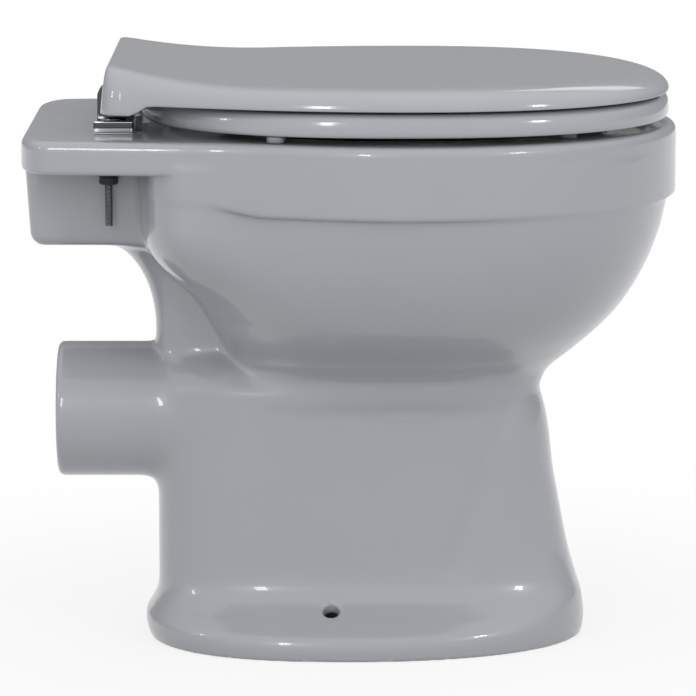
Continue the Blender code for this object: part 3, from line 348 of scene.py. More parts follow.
class ToiletSeatSizes(bpy.types.PropertyGroup):
    """Sizes of the seat and the lid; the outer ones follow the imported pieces."""

    wide_at: length("Seat widest at", "Place of the widest part, ahead of the middle", 0.038)
    seat_back: length("Seat back", "Reach of the seat to the back", 0.1605)
    hole_back: length("Seat hole back", "Reach of the seat's opening to the back", 0.075)
    hole_front: length("Seat hole front", "Reach of the seat's opening to the front", 0.178)
    hole_half_width: length("Seat hole half width", "Half of the width of the seat's opening", 0.108)
    thickness: length("Seat thickness", "Thickness of the seat", 0.018)
    lid_rise: length("Lid rise", "Height of the lid's crown above the seat", 0.017)
    lid_back_rise: length("Lid back rise", "How much the lid rises over the hinges", 0.0140)
    lid_rise_length: length("Lid rise length", "Length of that rise", 0.120)
    lid_nose_drop: length("Lid nose drop", "How much the lid falls at its nose", 0.004)
    lid_back_half_width: length("Lid back half width", "Half of the width of the lid's back", 0.127)
    lid_corner_x: length("Lid corner length", "Length of the lid's back corners", 0.016)
    lid_corner_y: length("Lid corner width", "Width of the lid's back corners", 0.018)
    lid_side_soft: length("Lid side softness", "Reach of the soft edge on the lid's sides", 0.034)
    lid_back_soft: length("Lid back softness", "How crisp the lid's back edge is", 0.060)
    lid_wall: length("Lid wall", "Thickness of the lid", 0.0055)
    lid_gap: length("Lid gap", "Gap between the lid and the seat", 0.0013)
    skirt_drop: length("Skirt drop", "How far the lid comes down over the hinges", 0.0078)
    skirt_length: length("Skirt length", "Length of the deeper skirt", 0.022)
    skirt_ease: length("Skirt ease", "Length over which the skirt rises", 0.016)


class ToiletFittingSizes(bpy.types.PropertyGroup):
    """Sizes of the hinges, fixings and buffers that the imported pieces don't give by themselves."""

    edge: length("Edge", "Rounding of the plated pieces' edges", 0.0006)
    pin_radius: length("Pin radius", "Radius of the hinge pins", 0.003)
    pin_play: length("Pin play", "Play round the hinge pins", 0.0003)
    eye_radius: length("Eye radius", "Radius of the eyes round the pins", 0.0068)
    thread_pitch: length("Thread pitch", "Pitch of the studs' thread", 0.0010)
    thread_depth: length("Thread depth", "Depth of the studs' thread", 0.00055)
    nut_ribs: IntProperty(name="Nut ribs", description="Number of grips round a nut", default=24, min=6)
    nut_rib_width: length("Nut rib width", "Width of a grip on the nut", 0.0011)


class ToiletColours(bpy.types.PropertyGroup):
    """Colours of the finishes."""

    glaze: colour("Glaze", "Colour of the glazed ceramic", (0.330, 0.336, 0.358))
    biscuit: colour("Biscuit", "Colour of the ceramic where it has no glaze", (0.56, 0.54, 0.50))
    plastic: colour("Plastic", "Colour of the seat and the lid", (0.350, 0.366, 0.385))
    chrome: colour("Chrome", "Colour of the dark plated hinges", (0.070, 0.073, 0.077))
    # The bright edge colour is a painted reflection: pale bands along the base plates' foot and top edge
    bright: colour("Bright edge", "Colour of the bright edges of the base plates", (0.66, 0.67, 0.69))
    steel: colour("Steel", "Colour of the studs and pins", (0.17, 0.18, 0.185))
    black: colour("Black", "Colour of the nuts and washers", (0.018, 0.019, 0.021))
    nylon: colour("Nylon", "Colour of the sleeves", (0.62, 0.62, 0.59))
    pad: colour("Pad", "Colour of the buffers", (0.22, 0.23, 0.24))
    gasket: colour("Gasket", "Colour of the pads under the hinges", (0.58, 0.59, 0.61))
    floor: colour("Floor", "Colour of the floor, as it looks", (0.88, 0.88, 0.885))
    floor_shade: colour("Floor shade", "Colour of the light that the floor throws back", (0.44, 0.44, 0.45))


class ToiletStageSizes(bpy.types.PropertyGroup):
    """Sizes and strengths of the stage."""

    lens: number("Lens", "Focal length in millimetres", 237.72, unit="CAMERA")
    camera_distance: length("Camera distance", "Distance of the camera from the middle", 3.5)
    camera_height: length("Camera height", "Height of the camera above the floor", 0.826)
    aim_x: length("Aim place", "Where the camera aims, ahead of the middle", -0.0025)
    aim_height: length("Aim height", "Height at which the camera aims", 0.222)
    floor_radius: length("Floor radius", "Radius of the floor", 14.0)
    shadow_share: number(
        "Shadow share", "Share of the floor near the object that takes shadows", 0.22,
        min=0.0, max=1.0, subtype="FACTOR",
    )
    shadow_reach: length("Shadow reach", "Distance at which the floor is white all over", 0.75)
    surround: number("Surround", "Strength of the surrounding light", 0.50)
    dome_radius: length("Dome radius", "Radius of the studio's dome", 6.0)
    dome_back_light: number("Dome back", "Brightness of the dome behind", 0.34)
    dome_front_light: number("Dome front", "Brightness of the dome in front", 1.09)
    front_power: watts("Front box", "Power of the front lamp", 21.0)
    left_power: watts("Left box", "Power of the left lamp", 7.0)
    right_power: watts("Right box", "Power of the right lamp", 22.0)
    back_power: watts("Back box", "Power of the back lamp", 5.0)


# Shapes worked out on numbers


def mix(low, high, share):
    """The value at a share of the way from low to high."""
    return low + (high - low) * share


def ease(share):
    """A share, kept between 0 and 1, that starts and ends level."""
    return 0.5 - 0.5 * np.cos(np.pi * np.clip(share, 0.0, 1.0))


def curve_through(rows, places):
    """Smooth values at some places, through rows whose first column is the place."""
    table = np.asarray(rows, dtype=float)
    knots, values = table[:, 0], table[:, 1:]
    steps = np.diff(knots)
    slopes = np.diff(values, axis=0) / steps[:, None]
    bends = np.zeros_like(values)
    bends[0], bends[-1] = slopes[0], slopes[-1]
    before, after = steps[:-1, None], steps[1:, None]
    same_way = slopes[:-1] * slopes[1:] > 0
    one, two = np.where(same_way, slopes[:-1], 1.0), np.where(same_way, slopes[1:], 1.0)
    evened = 3 * (before + after) / ((2 * after + before) / one + (after + 2 * before) / two)
    bends[1:-1] = np.where(same_way, evened, 0.0)
    places = np.clip(places, knots[0], knots[-1])
    index = np.clip(np.searchsorted(knots, places) - 1, 0, len(steps) - 1)
    gap = steps[index][:, None]
    t = ((places - knots[index])[:, None]) / gap
    low, high = values[index], values[index + 1]
    rise = bends[index] * gap, bends[index + 1] * gap
    return (
        low * (1 + 2 * t) * (1 - t) ** 2
        + rise[0] * t * (1 - t) ** 2
        + high * t * t * (3 - 2 * t)
        + rise[1] * t * t * (t - 1)
    )


def soft_union(one, other, reach):
    """The union of two distance fields with a fillet in the seam."""
    near = np.maximum(reach - np.abs(one - other), 0.0) / reach
    return np.minimum(one, other) - near**3 * (reach / 6)


def soft_meet(one, other, reach):
    """The common part of two distance fields with a rounded edge."""
    return -soft_union(-one, -other, reach)


def soft_cut(one, other, reach):
    """One distance field less another, with a rounded edge."""
    return soft_meet(one, -other, reach)


def round_meet(one, other, radius):
    """The common part of two distance fields with an edge of an exact radius."""
    a, b = one + radius, other + radius
    outside = np.sqrt(np.maximum(a, 0.0) ** 2 + np.maximum(b, 0.0) ** 2)
    return np.minimum(np.maximum(a, b), 0.0) + outside - radius


def smooth_route(corners, steps):
    """Places along a smooth curve through some corners, each a row of numbers."""
    rows = np.asarray(corners, dtype=float)
    ends = np.vstack([rows[0], rows, rows[-1]])
    route = []
    for before, start, end, after in zip(ends, ends[1:], ends[2:], ends[3:]):
        for i in range(steps):
            t = i / steps
            bend = 2 * before - 5 * start + 4 * end - after
            twist = 3 * start - before - 3 * end + after
            route.append(0.5 * (2 * start + (end - before) * t + bend * t * t + twist * t**3))
    route.append(rows[-1])
    return np.array(route)


def mirrored(half):
    """Close half an outline, which runs from the front centre to the back centre."""
    half = np.asarray(half, dtype=float)
    return np.vstack([half, half[-2:0:-1] * (1.0, -1.0)])


class PanShape:
    """Distances to the forms of the pan, on a grid over its left half."""

    def __init__(self, sizes, step):
        self.sizes, self.step = sizes, step
        margin = GRID_MARGIN * step
        self.xs = np.arange(-sizes.ledge_back - margin, sizes.rim_front + margin, step, dtype=np.float32)
        self.ys = step * (np.arange(int((sizes.rim_half_width + margin) / step) + 1, dtype=np.float32) + 0.5)
        self.zs = np.arange(-margin, sizes.rim_height + margin, step, dtype=np.float32)
        self.x = self.xs[:, None, None]
        self.y = self.ys[None, :, None]
        self.z = self.zs[None, None, :]

    def as_distance(self, values):
        """Turn a field that is zero on a surface into a distance near that surface."""
        axes = [axis for axis in range(3) if values.shape[axis] > 1]
        slopes = [np.gradient(values, self.step, axis=axis) for axis in axes]
        steepness = np.sqrt(sum(slope * slope for slope in slopes))
        return (values / np.maximum(steepness, LEAST_SLOPE)).astype(np.float32)

    def oval(self, back, front, half_width, wide_at, powers, drawn_in=1.0):
        """A body whose level sections are ovals; each size may change with the height."""
        ahead = self.x - wide_at
        reach = np.where(ahead > 0, front - wide_at, wide_at + back)
        power = np.where(ahead > 0, powers[1], powers[0])
        along = np.abs(ahead) / np.maximum(reach, self.step)
        across = self.y / np.maximum(half_width * drawn_in, self.step)
        return self.as_distance((along**power + across**power) ** (1 / power) - 1)

    def plan(self, outline):
        """Distances to an upright wall that follows an outline in plan."""
        x, y = self.xs[:, None], self.ys[None, :]
        nearest = np.full((len(self.xs), len(self.ys)), 9.0, dtype=np.float32)
        inside = np.zeros(nearest.shape, dtype=bool)
        for (x0, y0), (x1, y1) in zip(outline, np.roll(outline, -1, axis=0)):
            run = (x1 - x0) ** 2 + (y1 - y0) ** 2
            if run == 0:
                continue
            t = np.clip(((x - x0) * (x1 - x0) + (y - y0) * (y1 - y0)) / run, 0.0, 1.0)
            away = np.hypot(x - x0 - t * (x1 - x0), y - y0 - t * (y1 - y0))
            nearest = np.minimum(nearest, away)
            if (y0 > 0) != (y1 > 0) or y0 != y1:
                crosses = (y0 > y) != (y1 > y)
                inside ^= crosses & (x < x0 + (x1 - x0) * (y - y0) / (y1 - y0 if y1 != y0 else 1.0))
        return np.where(inside, -nearest, nearest)[:, :, None]

    def side_half_width(self, x):
        """The rim's half-width behind its widest part."""
        s = self.sizes
        share = (s.rim_wide_at - x) / (s.rim_wide_at + s.ledge_side_front)
        return mix(s.rim_half_width, s.ledge_half_width, ease(share))

    def rim_outline(self, back, corner_start, corner_y, taper=0.0):
        """The rim in plan, closed by a straight back with round corners."""
        s = self.sizes
        turn = np.linspace(0.0, 0.5 * np.pi, 48)
        reach = s.rim_front - s.rim_wide_at
        front = np.stack([s.rim_wide_at + reach * np.cos(turn), s.rim_half_width * np.sin(turn)], axis=1)
        along = np.linspace(s.rim_wide_at, -s.ledge_side_front, 28)[1:]
        side = np.stack([along, self.side_half_width(along)], axis=1)
        corner_x = mix(-corner_start, -back, np.sin(turn[::3]))
        corner_side = s.ledge_half_width - taper
        corner = np.stack([corner_x, corner_side - corner_y * (1 - np.cos(turn[::3]))], axis=1)
        return mirrored(np.vstack([front, side, corner, [(-back, 0.0)]]))

    def apron_wall(self):
        """Distances to the apron's upright face."""
        s = self.sizes
        return self.plan(self.rim_outline(s.apron_back, s.ledge_side_front, s.apron_corner))

    def rim_and_apron(self):
        """The rim with its ledge, and the apron that hangs flush below its front and sides."""
        s = self.sizes
        start = s.ledge_back - s.ledge_corner_x
        wall = self.plan(self.rim_outline(s.ledge_back, start, s.ledge_corner_y, s.ledge_taper))
        rim = round_meet(wall, self.z - s.rim_height, s.rim_round)
        rim = round_meet(rim, s.rim_height - s.ledge_thickness - self.z, 0.5 * s.rim_round)
        wall = self.apron_wall()
        lift = s.apron_lift * ease((-LIFT_START - self.x) / (s.ledge_side_front - LIFT_START))
        low = s.rim_height - s.apron_height + lift
        apron = round_meet(wall, low - self.z, 0.5 * s.rim_round)
        apron = np.maximum(apron, self.z - s.rim_height + 0.5 * s.ledge_thickness)
        return np.minimum(rim, apron)

    def bowl(self):
        """The outside of the bowl."""
        s = self.sizes
        low, high = s.bowl_foot_z, s.rim_height - s.apron_height
        rise = (self.zs - low) / (high - low)
        shares = curve_through(BOWL_SHARES, rise)
        front = mix(s.bowl_foot_front, s.rim_front - s.apron_step, shares[:, 0])
        half_width = mix(s.bowl_foot_half_width, s.rim_half_width - s.apron_step, shares[:, 1])
        back = mix(s.bowl_foot_back, s.apron_back, np.clip(rise, -0.5, 1.0))
        back_power = mix(*BOWL_BACK_POWERS, np.clip(rise - SQUARE_FROM, 0.0, 0.6))
        narrow = self.side_half_width(self.x) / s.rim_half_width
        drawn_in = mix(1.0, narrow, np.clip(rise, 0.0, 1.0)[None, None, :])
        powers = back_power, BOWL_FRONT_POWER
        body = self.oval(back, front, half_width, s.rim_wide_at, powers, drawn_in)
        merged = ease((-s.apron_fade - self.x) / s.apron_merge)
        share = merged * ease((rise - MERGE_FROM) / MERGE_RUN)[None, None, :]
        body = mix(body, self.apron_wall() + s.apron_step * (1 - merged), share)
        body = soft_meet(body, self.z - s.rim_height + s.channel_roof, s.rim_round)
        return soft_meet(body, s.bowl_foot_z - BOWL_ROOT - self.z, END_SOFT)

    def column(self):
        """The foot and the column, up to the crown behind the bowl."""
        s = self.sizes
        rows = []
        for rise, front, side, back in COLUMN_SHARES:
            rows.append(
                (
                    s.bowl_foot_z * rise,
                    mix(s.bowl_foot_front, s.floor_front, front),
                    mix(s.column_half_width, s.floor_half_width, side),
                    mix(s.column_back, s.floor_back, back),
                )
            )
        for rise, left in CROWN_SHARES:
            front = mix(CROWN_FRONT, s.bowl_foot_front - s.wall, left)
            half_width = mix(s.neck_half_width, s.column_half_width, left)
            rows.append((s.bowl_foot_z + s.crown_height * rise, front, half_width, s.column_back))
        values = curve_through(rows, self.zs.astype(float))
        flare = (values[:, 1] - s.column_half_width) / (s.floor_half_width - s.column_half_width)
        flare = np.clip(flare, 0.0, 1.0)
        powers = [mix(COLUMN_POWER, power, flare) for power in FOOT_POWERS]
        body = self.oval(values[:, 2], values[:, 0], values[:, 1], 0.0, powers)
        return soft_meet(body, self.z - s.bowl_foot_z - s.crown_height, END_SOFT)

    def waist(self):
        """The depth of the shallow fold that leans forward up the column's side."""
        s = self.sizes
        share = (self.z - WAIST_LOW) / (s.bowl_foot_z - WAIST_LOW)
        away = (self.x - mix(*WAIST_RUN, share)) / s.waist_width
        fade = ease(share / 0.25) * ease((1.15 - share) / 0.3)
        depth = s.waist_depth * np.exp(-away * away) * fade * (self.y > WAIST_INNER)
        return depth.astype(np.float32)

    def neck(self):
        """The thin neck, whose back edge curves up to the inlet block."""
        s = self.sizes
        low = s.rim_height - s.horn_height
        climb = np.clip((self.zs - s.neck_arc_z) / (low - s.neck_arc_z), 0.0, 0.995)
        back = s.neck_back + s.neck_arc_reach * (1 - np.sqrt(1 - climb * climb))
        half_width = mix(s.neck_half_width, s.neck_top_half_width, climb * climb)
        middle = -0.5 * (s.neck_back + s.neck_front)
        body = self.oval(back, np.full_like(back, -s.neck_front), half_width, middle, NECK_POWERS)
        body = soft_meet(body, self.z - low - 1.5 * s.horn_round, NECK_END_SOFT)
        return soft_meet(body, s.bowl_foot_z - self.z, NECK_END_SOFT)

    def horn(self):
        """The flush inlet block."""
        s = self.sizes
        low = s.rim_height - s.horn_height
        top = s.rim_height - s.ledge_thickness
        lean = s.horn_draft * np.clip((top - self.z) / (top - low - s.horn_round), 0.0, 1.3)
        along = np.maximum(lean - s.horn_back - self.x, self.x + s.horn_front) + s.horn_round
        across = self.y - s.horn_half_width + s.horn_round
        upright = np.maximum(low - self.z, self.z - top - 0.5 * s.ledge_thickness) + s.horn_round
        outside = np.sqrt(sum(np.maximum(side, 0.0) ** 2 for side in (along, across, upright)))
        deepest = np.maximum(np.maximum(along, across), upright)
        return np.minimum(deepest, 0.0) + outside - s.horn_round

    def pipe(self, height, radius, back, front, edge):
        """A round pipe that runs from the back to the front."""
        wall = np.hypot(self.y, self.z - height) - radius
        return round_meet(wall, np.maximum(back - self.x, self.x - front), edge)

    def well(self):
        """The lower bowl, which narrows to the throat of the trap."""
        s = self.sizes
        narrowed = np.sqrt(np.clip((WELL_SHOULDER - self.zs) / WELL_TAPER, 0.0, 1.0))
        grown = np.clip((self.zs - WELL_SHOULDER) / WELL_TAPER, 0.0, 0.5)
        back = mix(*WELL_BACK, narrowed) + 0.5 * s.wall * grown
        front, half_width = mix(*WELL_FRONT, narrowed), mix(*WELL_HALF_WIDTH, narrowed)
        body = self.oval(back, front, half_width, THROAT_X, ELLIPSE)
        body = soft_meet(body, WELL_LOW - self.z, WELL_SOFT)
        return soft_meet(body, self.z - WELL_HIGH, WELL_SOFT)

    def trap(self):
        """The trap passage, from the throat, down, over the weir and out."""
        s = self.sizes
        end = (-s.column_back, s.outlet_z, TRAP_END_RADIUS, TRAP_END_RADIUS)
        out = (-s.outlet_end - TRAP_OVERRUN, s.outlet_z, s.outlet_bore, s.outlet_bore)
        route = smooth_route((*TRAP_CORNERS, end, out), 6)
        x, z = self.xs[:, None], self.zs[None, :]
        field = np.full((len(self.xs), len(self.ys), len(self.zs)), 9.0, dtype=np.float32)
        for (x0, z0, r0, w0), (x1, z1, r1, w1) in zip(route, route[1:]):
            run = max((x1 - x0) ** 2 + (z1 - z0) ** 2, 1e-12)
            t = np.clip(((x - x0) * (x1 - x0) + (z - z0) * (z1 - z0)) / run, 0.0, 1.0)
            away = np.hypot(x - x0 - t * (x1 - x0), z - z0 - t * (z1 - z0)) / mix(r0, r1, t)
            half_width = mix(w0, w1, t)[:, None, :]
            across = self.ys[None, :, None] / half_width
            tube = (np.sqrt(away[:, None, :] ** 2 + across**2) - 1) * half_width
            field = np.minimum(field, tube)
        return field

    def mouth(self, extra):
        """The upright wall of the bowl's mouth, grown outwards by extra."""
        s = self.sizes
        reaches = [size + extra for size in (s.opening_back, s.opening_front, s.opening_half_width)]
        return self.oval(*reaches, s.rim_wide_at, MOUTH_POWERS)

    def build(self):
        """The distances to the whole pan, and to the bare hollow in its foot."""
        s = self.sizes
        seam = s.soft_seam
        bowl, column = self.bowl(), self.column()
        outlet = self.pipe(s.outlet_z, s.outlet_radius, -s.outlet_end, -OUTLET_ROOT, s.outlet_round)
        body = soft_union(column + self.waist(), self.neck(), NECK_SEAM * seam)
        above = ease((self.z - s.outlet_z - OUTLET_CHANGE[0]) / OUTLET_CHANGE[1])
        body = soft_union(body, outlet, seam * mix(*OUTLET_SEAMS, above))
        from_back = ease((self.x + BACK_CHANGE[0]) / BACK_CHANGE[1])
        to_front = ease((self.x - FRONT_CHANGE[0]) / FRONT_CHANGE[1])
        reach = seam * (mix(*BOWL_SEAMS, from_back) - FRONT_SEAM_LOSS * to_front)
        over_root = ease((self.z - s.bowl_foot_z + ROOT_CHANGE[0]) / ROOT_CHANGE[1])
        body = soft_union(body, bowl, reach * mix(*ROOT_SEAMS, over_root))
        body = soft_union(body, self.horn(), HORN_SEAM * seam)
        body = soft_union(body, self.rim_and_apron(), RIM_SEAM * seam)

        hollow = soft_meet(column + s.wall, self.z - s.hollow_top, END_SOFT)
        body = soft_cut(body, hollow, 0.25 * s.wall)
        well, trap = self.well(), self.trap()
        inside_back = -s.column_back + 0.5 * s.wall - self.x
        body = soft_union(body, np.maximum(trap - s.wall, inside_back), WELL_WALL_SEAM * seam)
        well_wall = np.maximum(well - s.wall, self.z - s.bowl_foot_z)
        body = soft_union(body, well_wall, WELL_WALL_SEAM * seam)
        lip_bottom = s.rim_height - s.lip_drop
        basin = soft_meet(bowl + s.wall, self.z - s.rim_height + s.channel_roof, BASIN_SOFT)
        lip = np.maximum(self.mouth(s.lip_thickness), lip_bottom - self.z)
        basin = soft_cut(basin, lip, LIP_SOFT)
        basin = soft_union(basin, well, BASIN_SEAM * seam)
        passages = soft_union(basin, trap, TRAP_SEAM * seam)
        inlet_z, inlet_start = s.rim_height - s.inlet_drop, -s.ledge_back - INLET_OVERRUN
        inlet = self.pipe(inlet_z, s.inlet_radius, inlet_start, -INLET_ROOT, INLET_EDGE)
        body = soft_cut(body, passages, PASSAGE_SOFT)
        body = soft_cut(body, inlet, INLET_SOFT)
        mouth = np.maximum(self.mouth(0.0), lip_bottom - MOUTH_OVERRUN - self.z)
        body = soft_cut(body, mouth, 1.5 * s.rim_round)

        seat_hole = np.hypot(self.x + s.seat_hole_x, self.y - s.seat_hole_y) - s.seat_hole_radius
        seat_hole = np.maximum(seat_hole, s.rim_height - s.horn_height - self.z)
        body = soft_cut(body, seat_hole, SEAT_HOLE_SOFT)
        tilt = math.radians(FLOOR_HOLE_TILT)
        out, up = self.y - s.floor_hole_y, self.z - s.floor_hole_z
        across = out * math.sin(tilt) - up * math.cos(tilt)
        along = out * math.cos(tilt) + up * math.sin(tilt)
        floor_hole = np.hypot(self.x + s.floor_hole_x, across) - s.floor_hole_radius
        floor_hole = np.maximum(floor_hole, np.abs(along) - FLOOR_HOLE_REACH)
        body = soft_cut(body, floor_hole, FLOOR_HOLE_SOFT)
        return round_meet(body, -self.z, s.floor_round), hollow


class Field:
    """Numbers on a grid, such as the distances to a shape."""

    def __init__(self, values, origin, step):
        self.values, self.origin, self.step = values, origin, step

    def at(self, points):
        """Values at some points, by straight-line mixing between the grid's nodes."""
        place = (points - self.origin) / self.step
        place = np.clip(place, 0.0, np.array(self.values.shape) - 1.001)
        base = place.astype(int)
        share = place - base
        total = np.zeros(len(points))
        for corner in np.ndindex(2, 2, 2):
            weight = np.prod(np.where(corner, share, 1 - share), axis=1)
            spot = base + corner
            total += weight * self.values[spot[:, 0], spot[:, 1], spot[:, 2]]
        return total

    def slope(self, points):
        """Directions in which the values rise fastest, as unit vectors."""
        slope = np.empty((len(points), 3))
        for axis in range(3):
            shift = np.zeros(3)
            shift[axis] = 0.6 * self.step
            slope[:, axis] = self.at(points + shift) - self.at(points - shift)
        return slope / np.maximum(np.linalg.norm(slope, axis=1), 1e-9)[:, None]

    def settle(self, points, rounds):
        """Move points onto the surface where the values are zero."""
        for _ in range(rounds):
            slope = self.slope(points)
            away = np.clip(self.at(points), -0.5 * self.step, 0.5 * self.step)
            points = points - slope * away[:, None]
        return points

    def surface(self):
        """Points and four-sided faces of the surface where the values are zero."""
        inside = self.values < 0
        cells, spots, quads, outward = [], [], [], []
        for axis in range(3):
            low, high = [slice(None)] * 3, [slice(None)] * 3
            low[axis], high[axis] = slice(0, -1), slice(1, None)
            nodes = np.argwhere(inside[tuple(low)] != inside[tuple(high)])
            start = self.values[nodes[:, 0], nodes[:, 1], nodes[:, 2]]
            after = nodes.copy()
            after[:, axis] += 1
            end = self.values[after[:, 0], after[:, 1], after[:, 2]]
            spot = nodes.astype(float)
            spot[:, axis] += start / (start - end)
            one, two = (axis + 1) % 3, (axis + 2) % 3
            ring = []
            for back_one, back_two in ((1, 1), (0, 1), (0, 0), (1, 0)):
                cell = nodes.copy()
                cell[:, one] -= back_one
                cell[:, two] -= back_two
                ring.append(np.ravel_multi_index(tuple(cell.T), inside.shape))
            cells += ring
            spots += [spot] * 4
            quads.append(np.stack(ring, axis=1))
            outward.append(start < 0)
        keys, index = np.unique(np.concatenate(cells), return_inverse=True)
        spots = np.concatenate(spots)
        counts = np.bincount(index)
        points = [np.bincount(index, spots[:, axis]) / counts for axis in range(3)]
        quads = np.searchsorted(keys, np.concatenate(quads))
        outward = np.concatenate(outward)
        quads[~outward] = quads[~outward][:, ::-1]
        return self.origin + self.step * np.stack(points, axis=1), quads


# Meshes


def in_scene(name, data):
    """A new object in the scene."""
    item = bpy.data.objects.new(name, data)
    bpy.context.scene.collection.objects.link(item)
    return item


def piece_from(name, points, faces):
    """Put a mesh of points and faces in the scene as a smooth object."""
    mesh = bpy.data.meshes.new(name)
    mesh.from_pydata(np.asarray(points).tolist(), [], [list(map(int, face)) for face in faces])
    mesh.validate()
    mesh.update()
    mesh.shade_smooth()
    return in_scene(name, mesh)


def settle_modifiers(item):
    """Replace an object's mesh by what its modifiers make of it."""
    bpy.context.view_layer.update()
    deps = bpy.context.evaluated_depsgraph_get()
    old = item.data
    mesh = bpy.data.meshes.new_from_object(item.evaluated_get(deps), depsgraph=deps)
    item.modifiers.clear()
    if item.type == "MESH":
        item.data = mesh
        bpy.data.meshes.remove(old)
        mesh.name = item.name
        return item
    mesh.transform(item.matrix_world)
    name = item.name
    bpy.data.objects.remove(item)
    mesh.name = name
    return in_scene(name, mesh)


def face_out(item, merge=0.00002, sharp=None):
    """Merge an object's doubles, turn its faces outwards and shade it."""
    shape = bmesh.new()
    shape.from_mesh(item.data)
    bmesh.ops.remove_doubles(shape, verts=shape.verts, dist=merge)
    bmesh.ops.recalc_face_normals(shape, faces=shape.faces)
    shape.to_mesh(item.data)
    shape.free()
    item.data.shade_smooth()
    if sharp is not None:
        item.data.set_sharp_from_angle(angle=sharp)
    return item


def skin(name, rings, joined=False):
    """Skin rings of equal counts of points, capped at both ends or joined into a loop."""
    rings = np.asarray(rings, dtype=float)
    count, around = rings.shape[:2]
    faces = []
    for k in range(count if joined else count - 1):
        low, high = k * around, (k + 1) % count * around
        for i in range(around):
            j = (i + 1) % around
            faces.append((low + i, low + j, high + j, high + i))
    if not joined:
        faces.append(tuple(range(around))[::-1])
        faces.append(tuple(range((count - 1) * around, count * around)))
    return face_out(piece_from(name, rings.reshape(-1, 3), faces))


def plate(name, outlines, thickness, edge, turn):
    """A flat plate with holes and rounded edges: its first outline is the rim, the others are holes."""
    sheet = bpy.data.curves.new(name, "CURVE")
    sheet.dimensions = "2D"
    sheet.fill_mode = "BOTH"
    sheet.extrude = 0.5 * thickness - edge
    sheet.bevel_depth = edge
    sheet.bevel_resolution = 2
    sheet.offset = -edge
    for outline in outlines:
        line = sheet.splines.new("POLY")
        line.points.add(len(outline) - 1)
        for point, (across, up) in zip(line.points, outline):
            point.co = (across, up, 0.0, 1.0)
        line.use_cyclic_u = True
    item = in_scene(name, sheet)
    item.matrix_world = turn
    return face_out(settle_modifiers(item), sharp=math.radians(40))


def circle(centre, radius, count=48, start=0.0, end=2 * math.pi):
    """Points round a circle or along an arc."""
    share = np.arange(count) / (count if end - start >= 2 * math.pi - 1e-6 else count - 1)
    turn = start + (end - start) * share
    return [(centre[0] + radius * math.cos(a), centre[1] + radius * math.sin(a)) for a in turn]


def merge_into(item, others):
    """Join other objects' meshes into one object, as closed shells of their own."""
    shape = bmesh.new()
    shape.from_mesh(item.data)
    for other in others:
        shape.from_mesh(other.data)
        bpy.data.objects.remove(other)
    shape.to_mesh(item.data)
    shape.free()


def carve(item, cutters):
    """Cut other objects out of a piece with exact Booleans."""
    for cutter in cutters:
        step = item.modifiers.new(cutter.name, "BOOLEAN")
        step.operation = "DIFFERENCE"
        step.solver = "EXACT"
        step.object = cutter
    settle_modifiers(item)
    for cutter in cutters:
        bpy.data.objects.remove(cutter)


def dress(item, body, node, material):
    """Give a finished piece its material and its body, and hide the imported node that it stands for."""
    item.data.materials.clear()
    item.data.materials.append(material)
    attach(item, body)
    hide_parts(node)


class Amount:
    """A number inside a material, with the usual arithmetic."""

    def __init__(self, finish, socket):
        self.finish, self.socket = finish, socket

    def work(self, operation, other, turned=False, clamp=False):
        """Make one step of arithmetic between this number and another."""
        pair = (other, self) if turned else (self, other)
        node = self.finish.make("ShaderNodeMath", operation=operation, use_clamp=clamp)
        for socket, value in zip(node.inputs, pair):
            self.finish.feed(socket, value)
        return Amount(self.finish, node.outputs[0])

    def __add__(self, other):
        return self.work("ADD", other)

    def __sub__(self, other):
        return self.work("SUBTRACT", other)

    def __rsub__(self, other):
        return self.work("SUBTRACT", other, turned=True)

    def __mul__(self, other):
        return self.work("MULTIPLY", other)

    def kept(self):
        """This number, kept between 0 and 1."""
        return self.work("ADD", 0.0, clamp=True)

    def at_least(self, other):
        """The larger of this number and another."""
        return self.work("MAXIMUM", other)

    def spread(self, low, high, to_low=0.0, to_high=1.0):
        """This number's range from low to high, moved smoothly to another range."""
        node = self.finish.make("ShaderNodeMapRange", interpolation_type="SMOOTHSTEP")
        for name, value in (
            ("Value", self), ("From Min", low), ("From Max", high), ("To Min", to_low), ("To Max", to_high)
        ):
            self.finish.feed(node.inputs[name], value)
        return Amount(self.finish, node.outputs["Result"])

    __radd__ = __add__


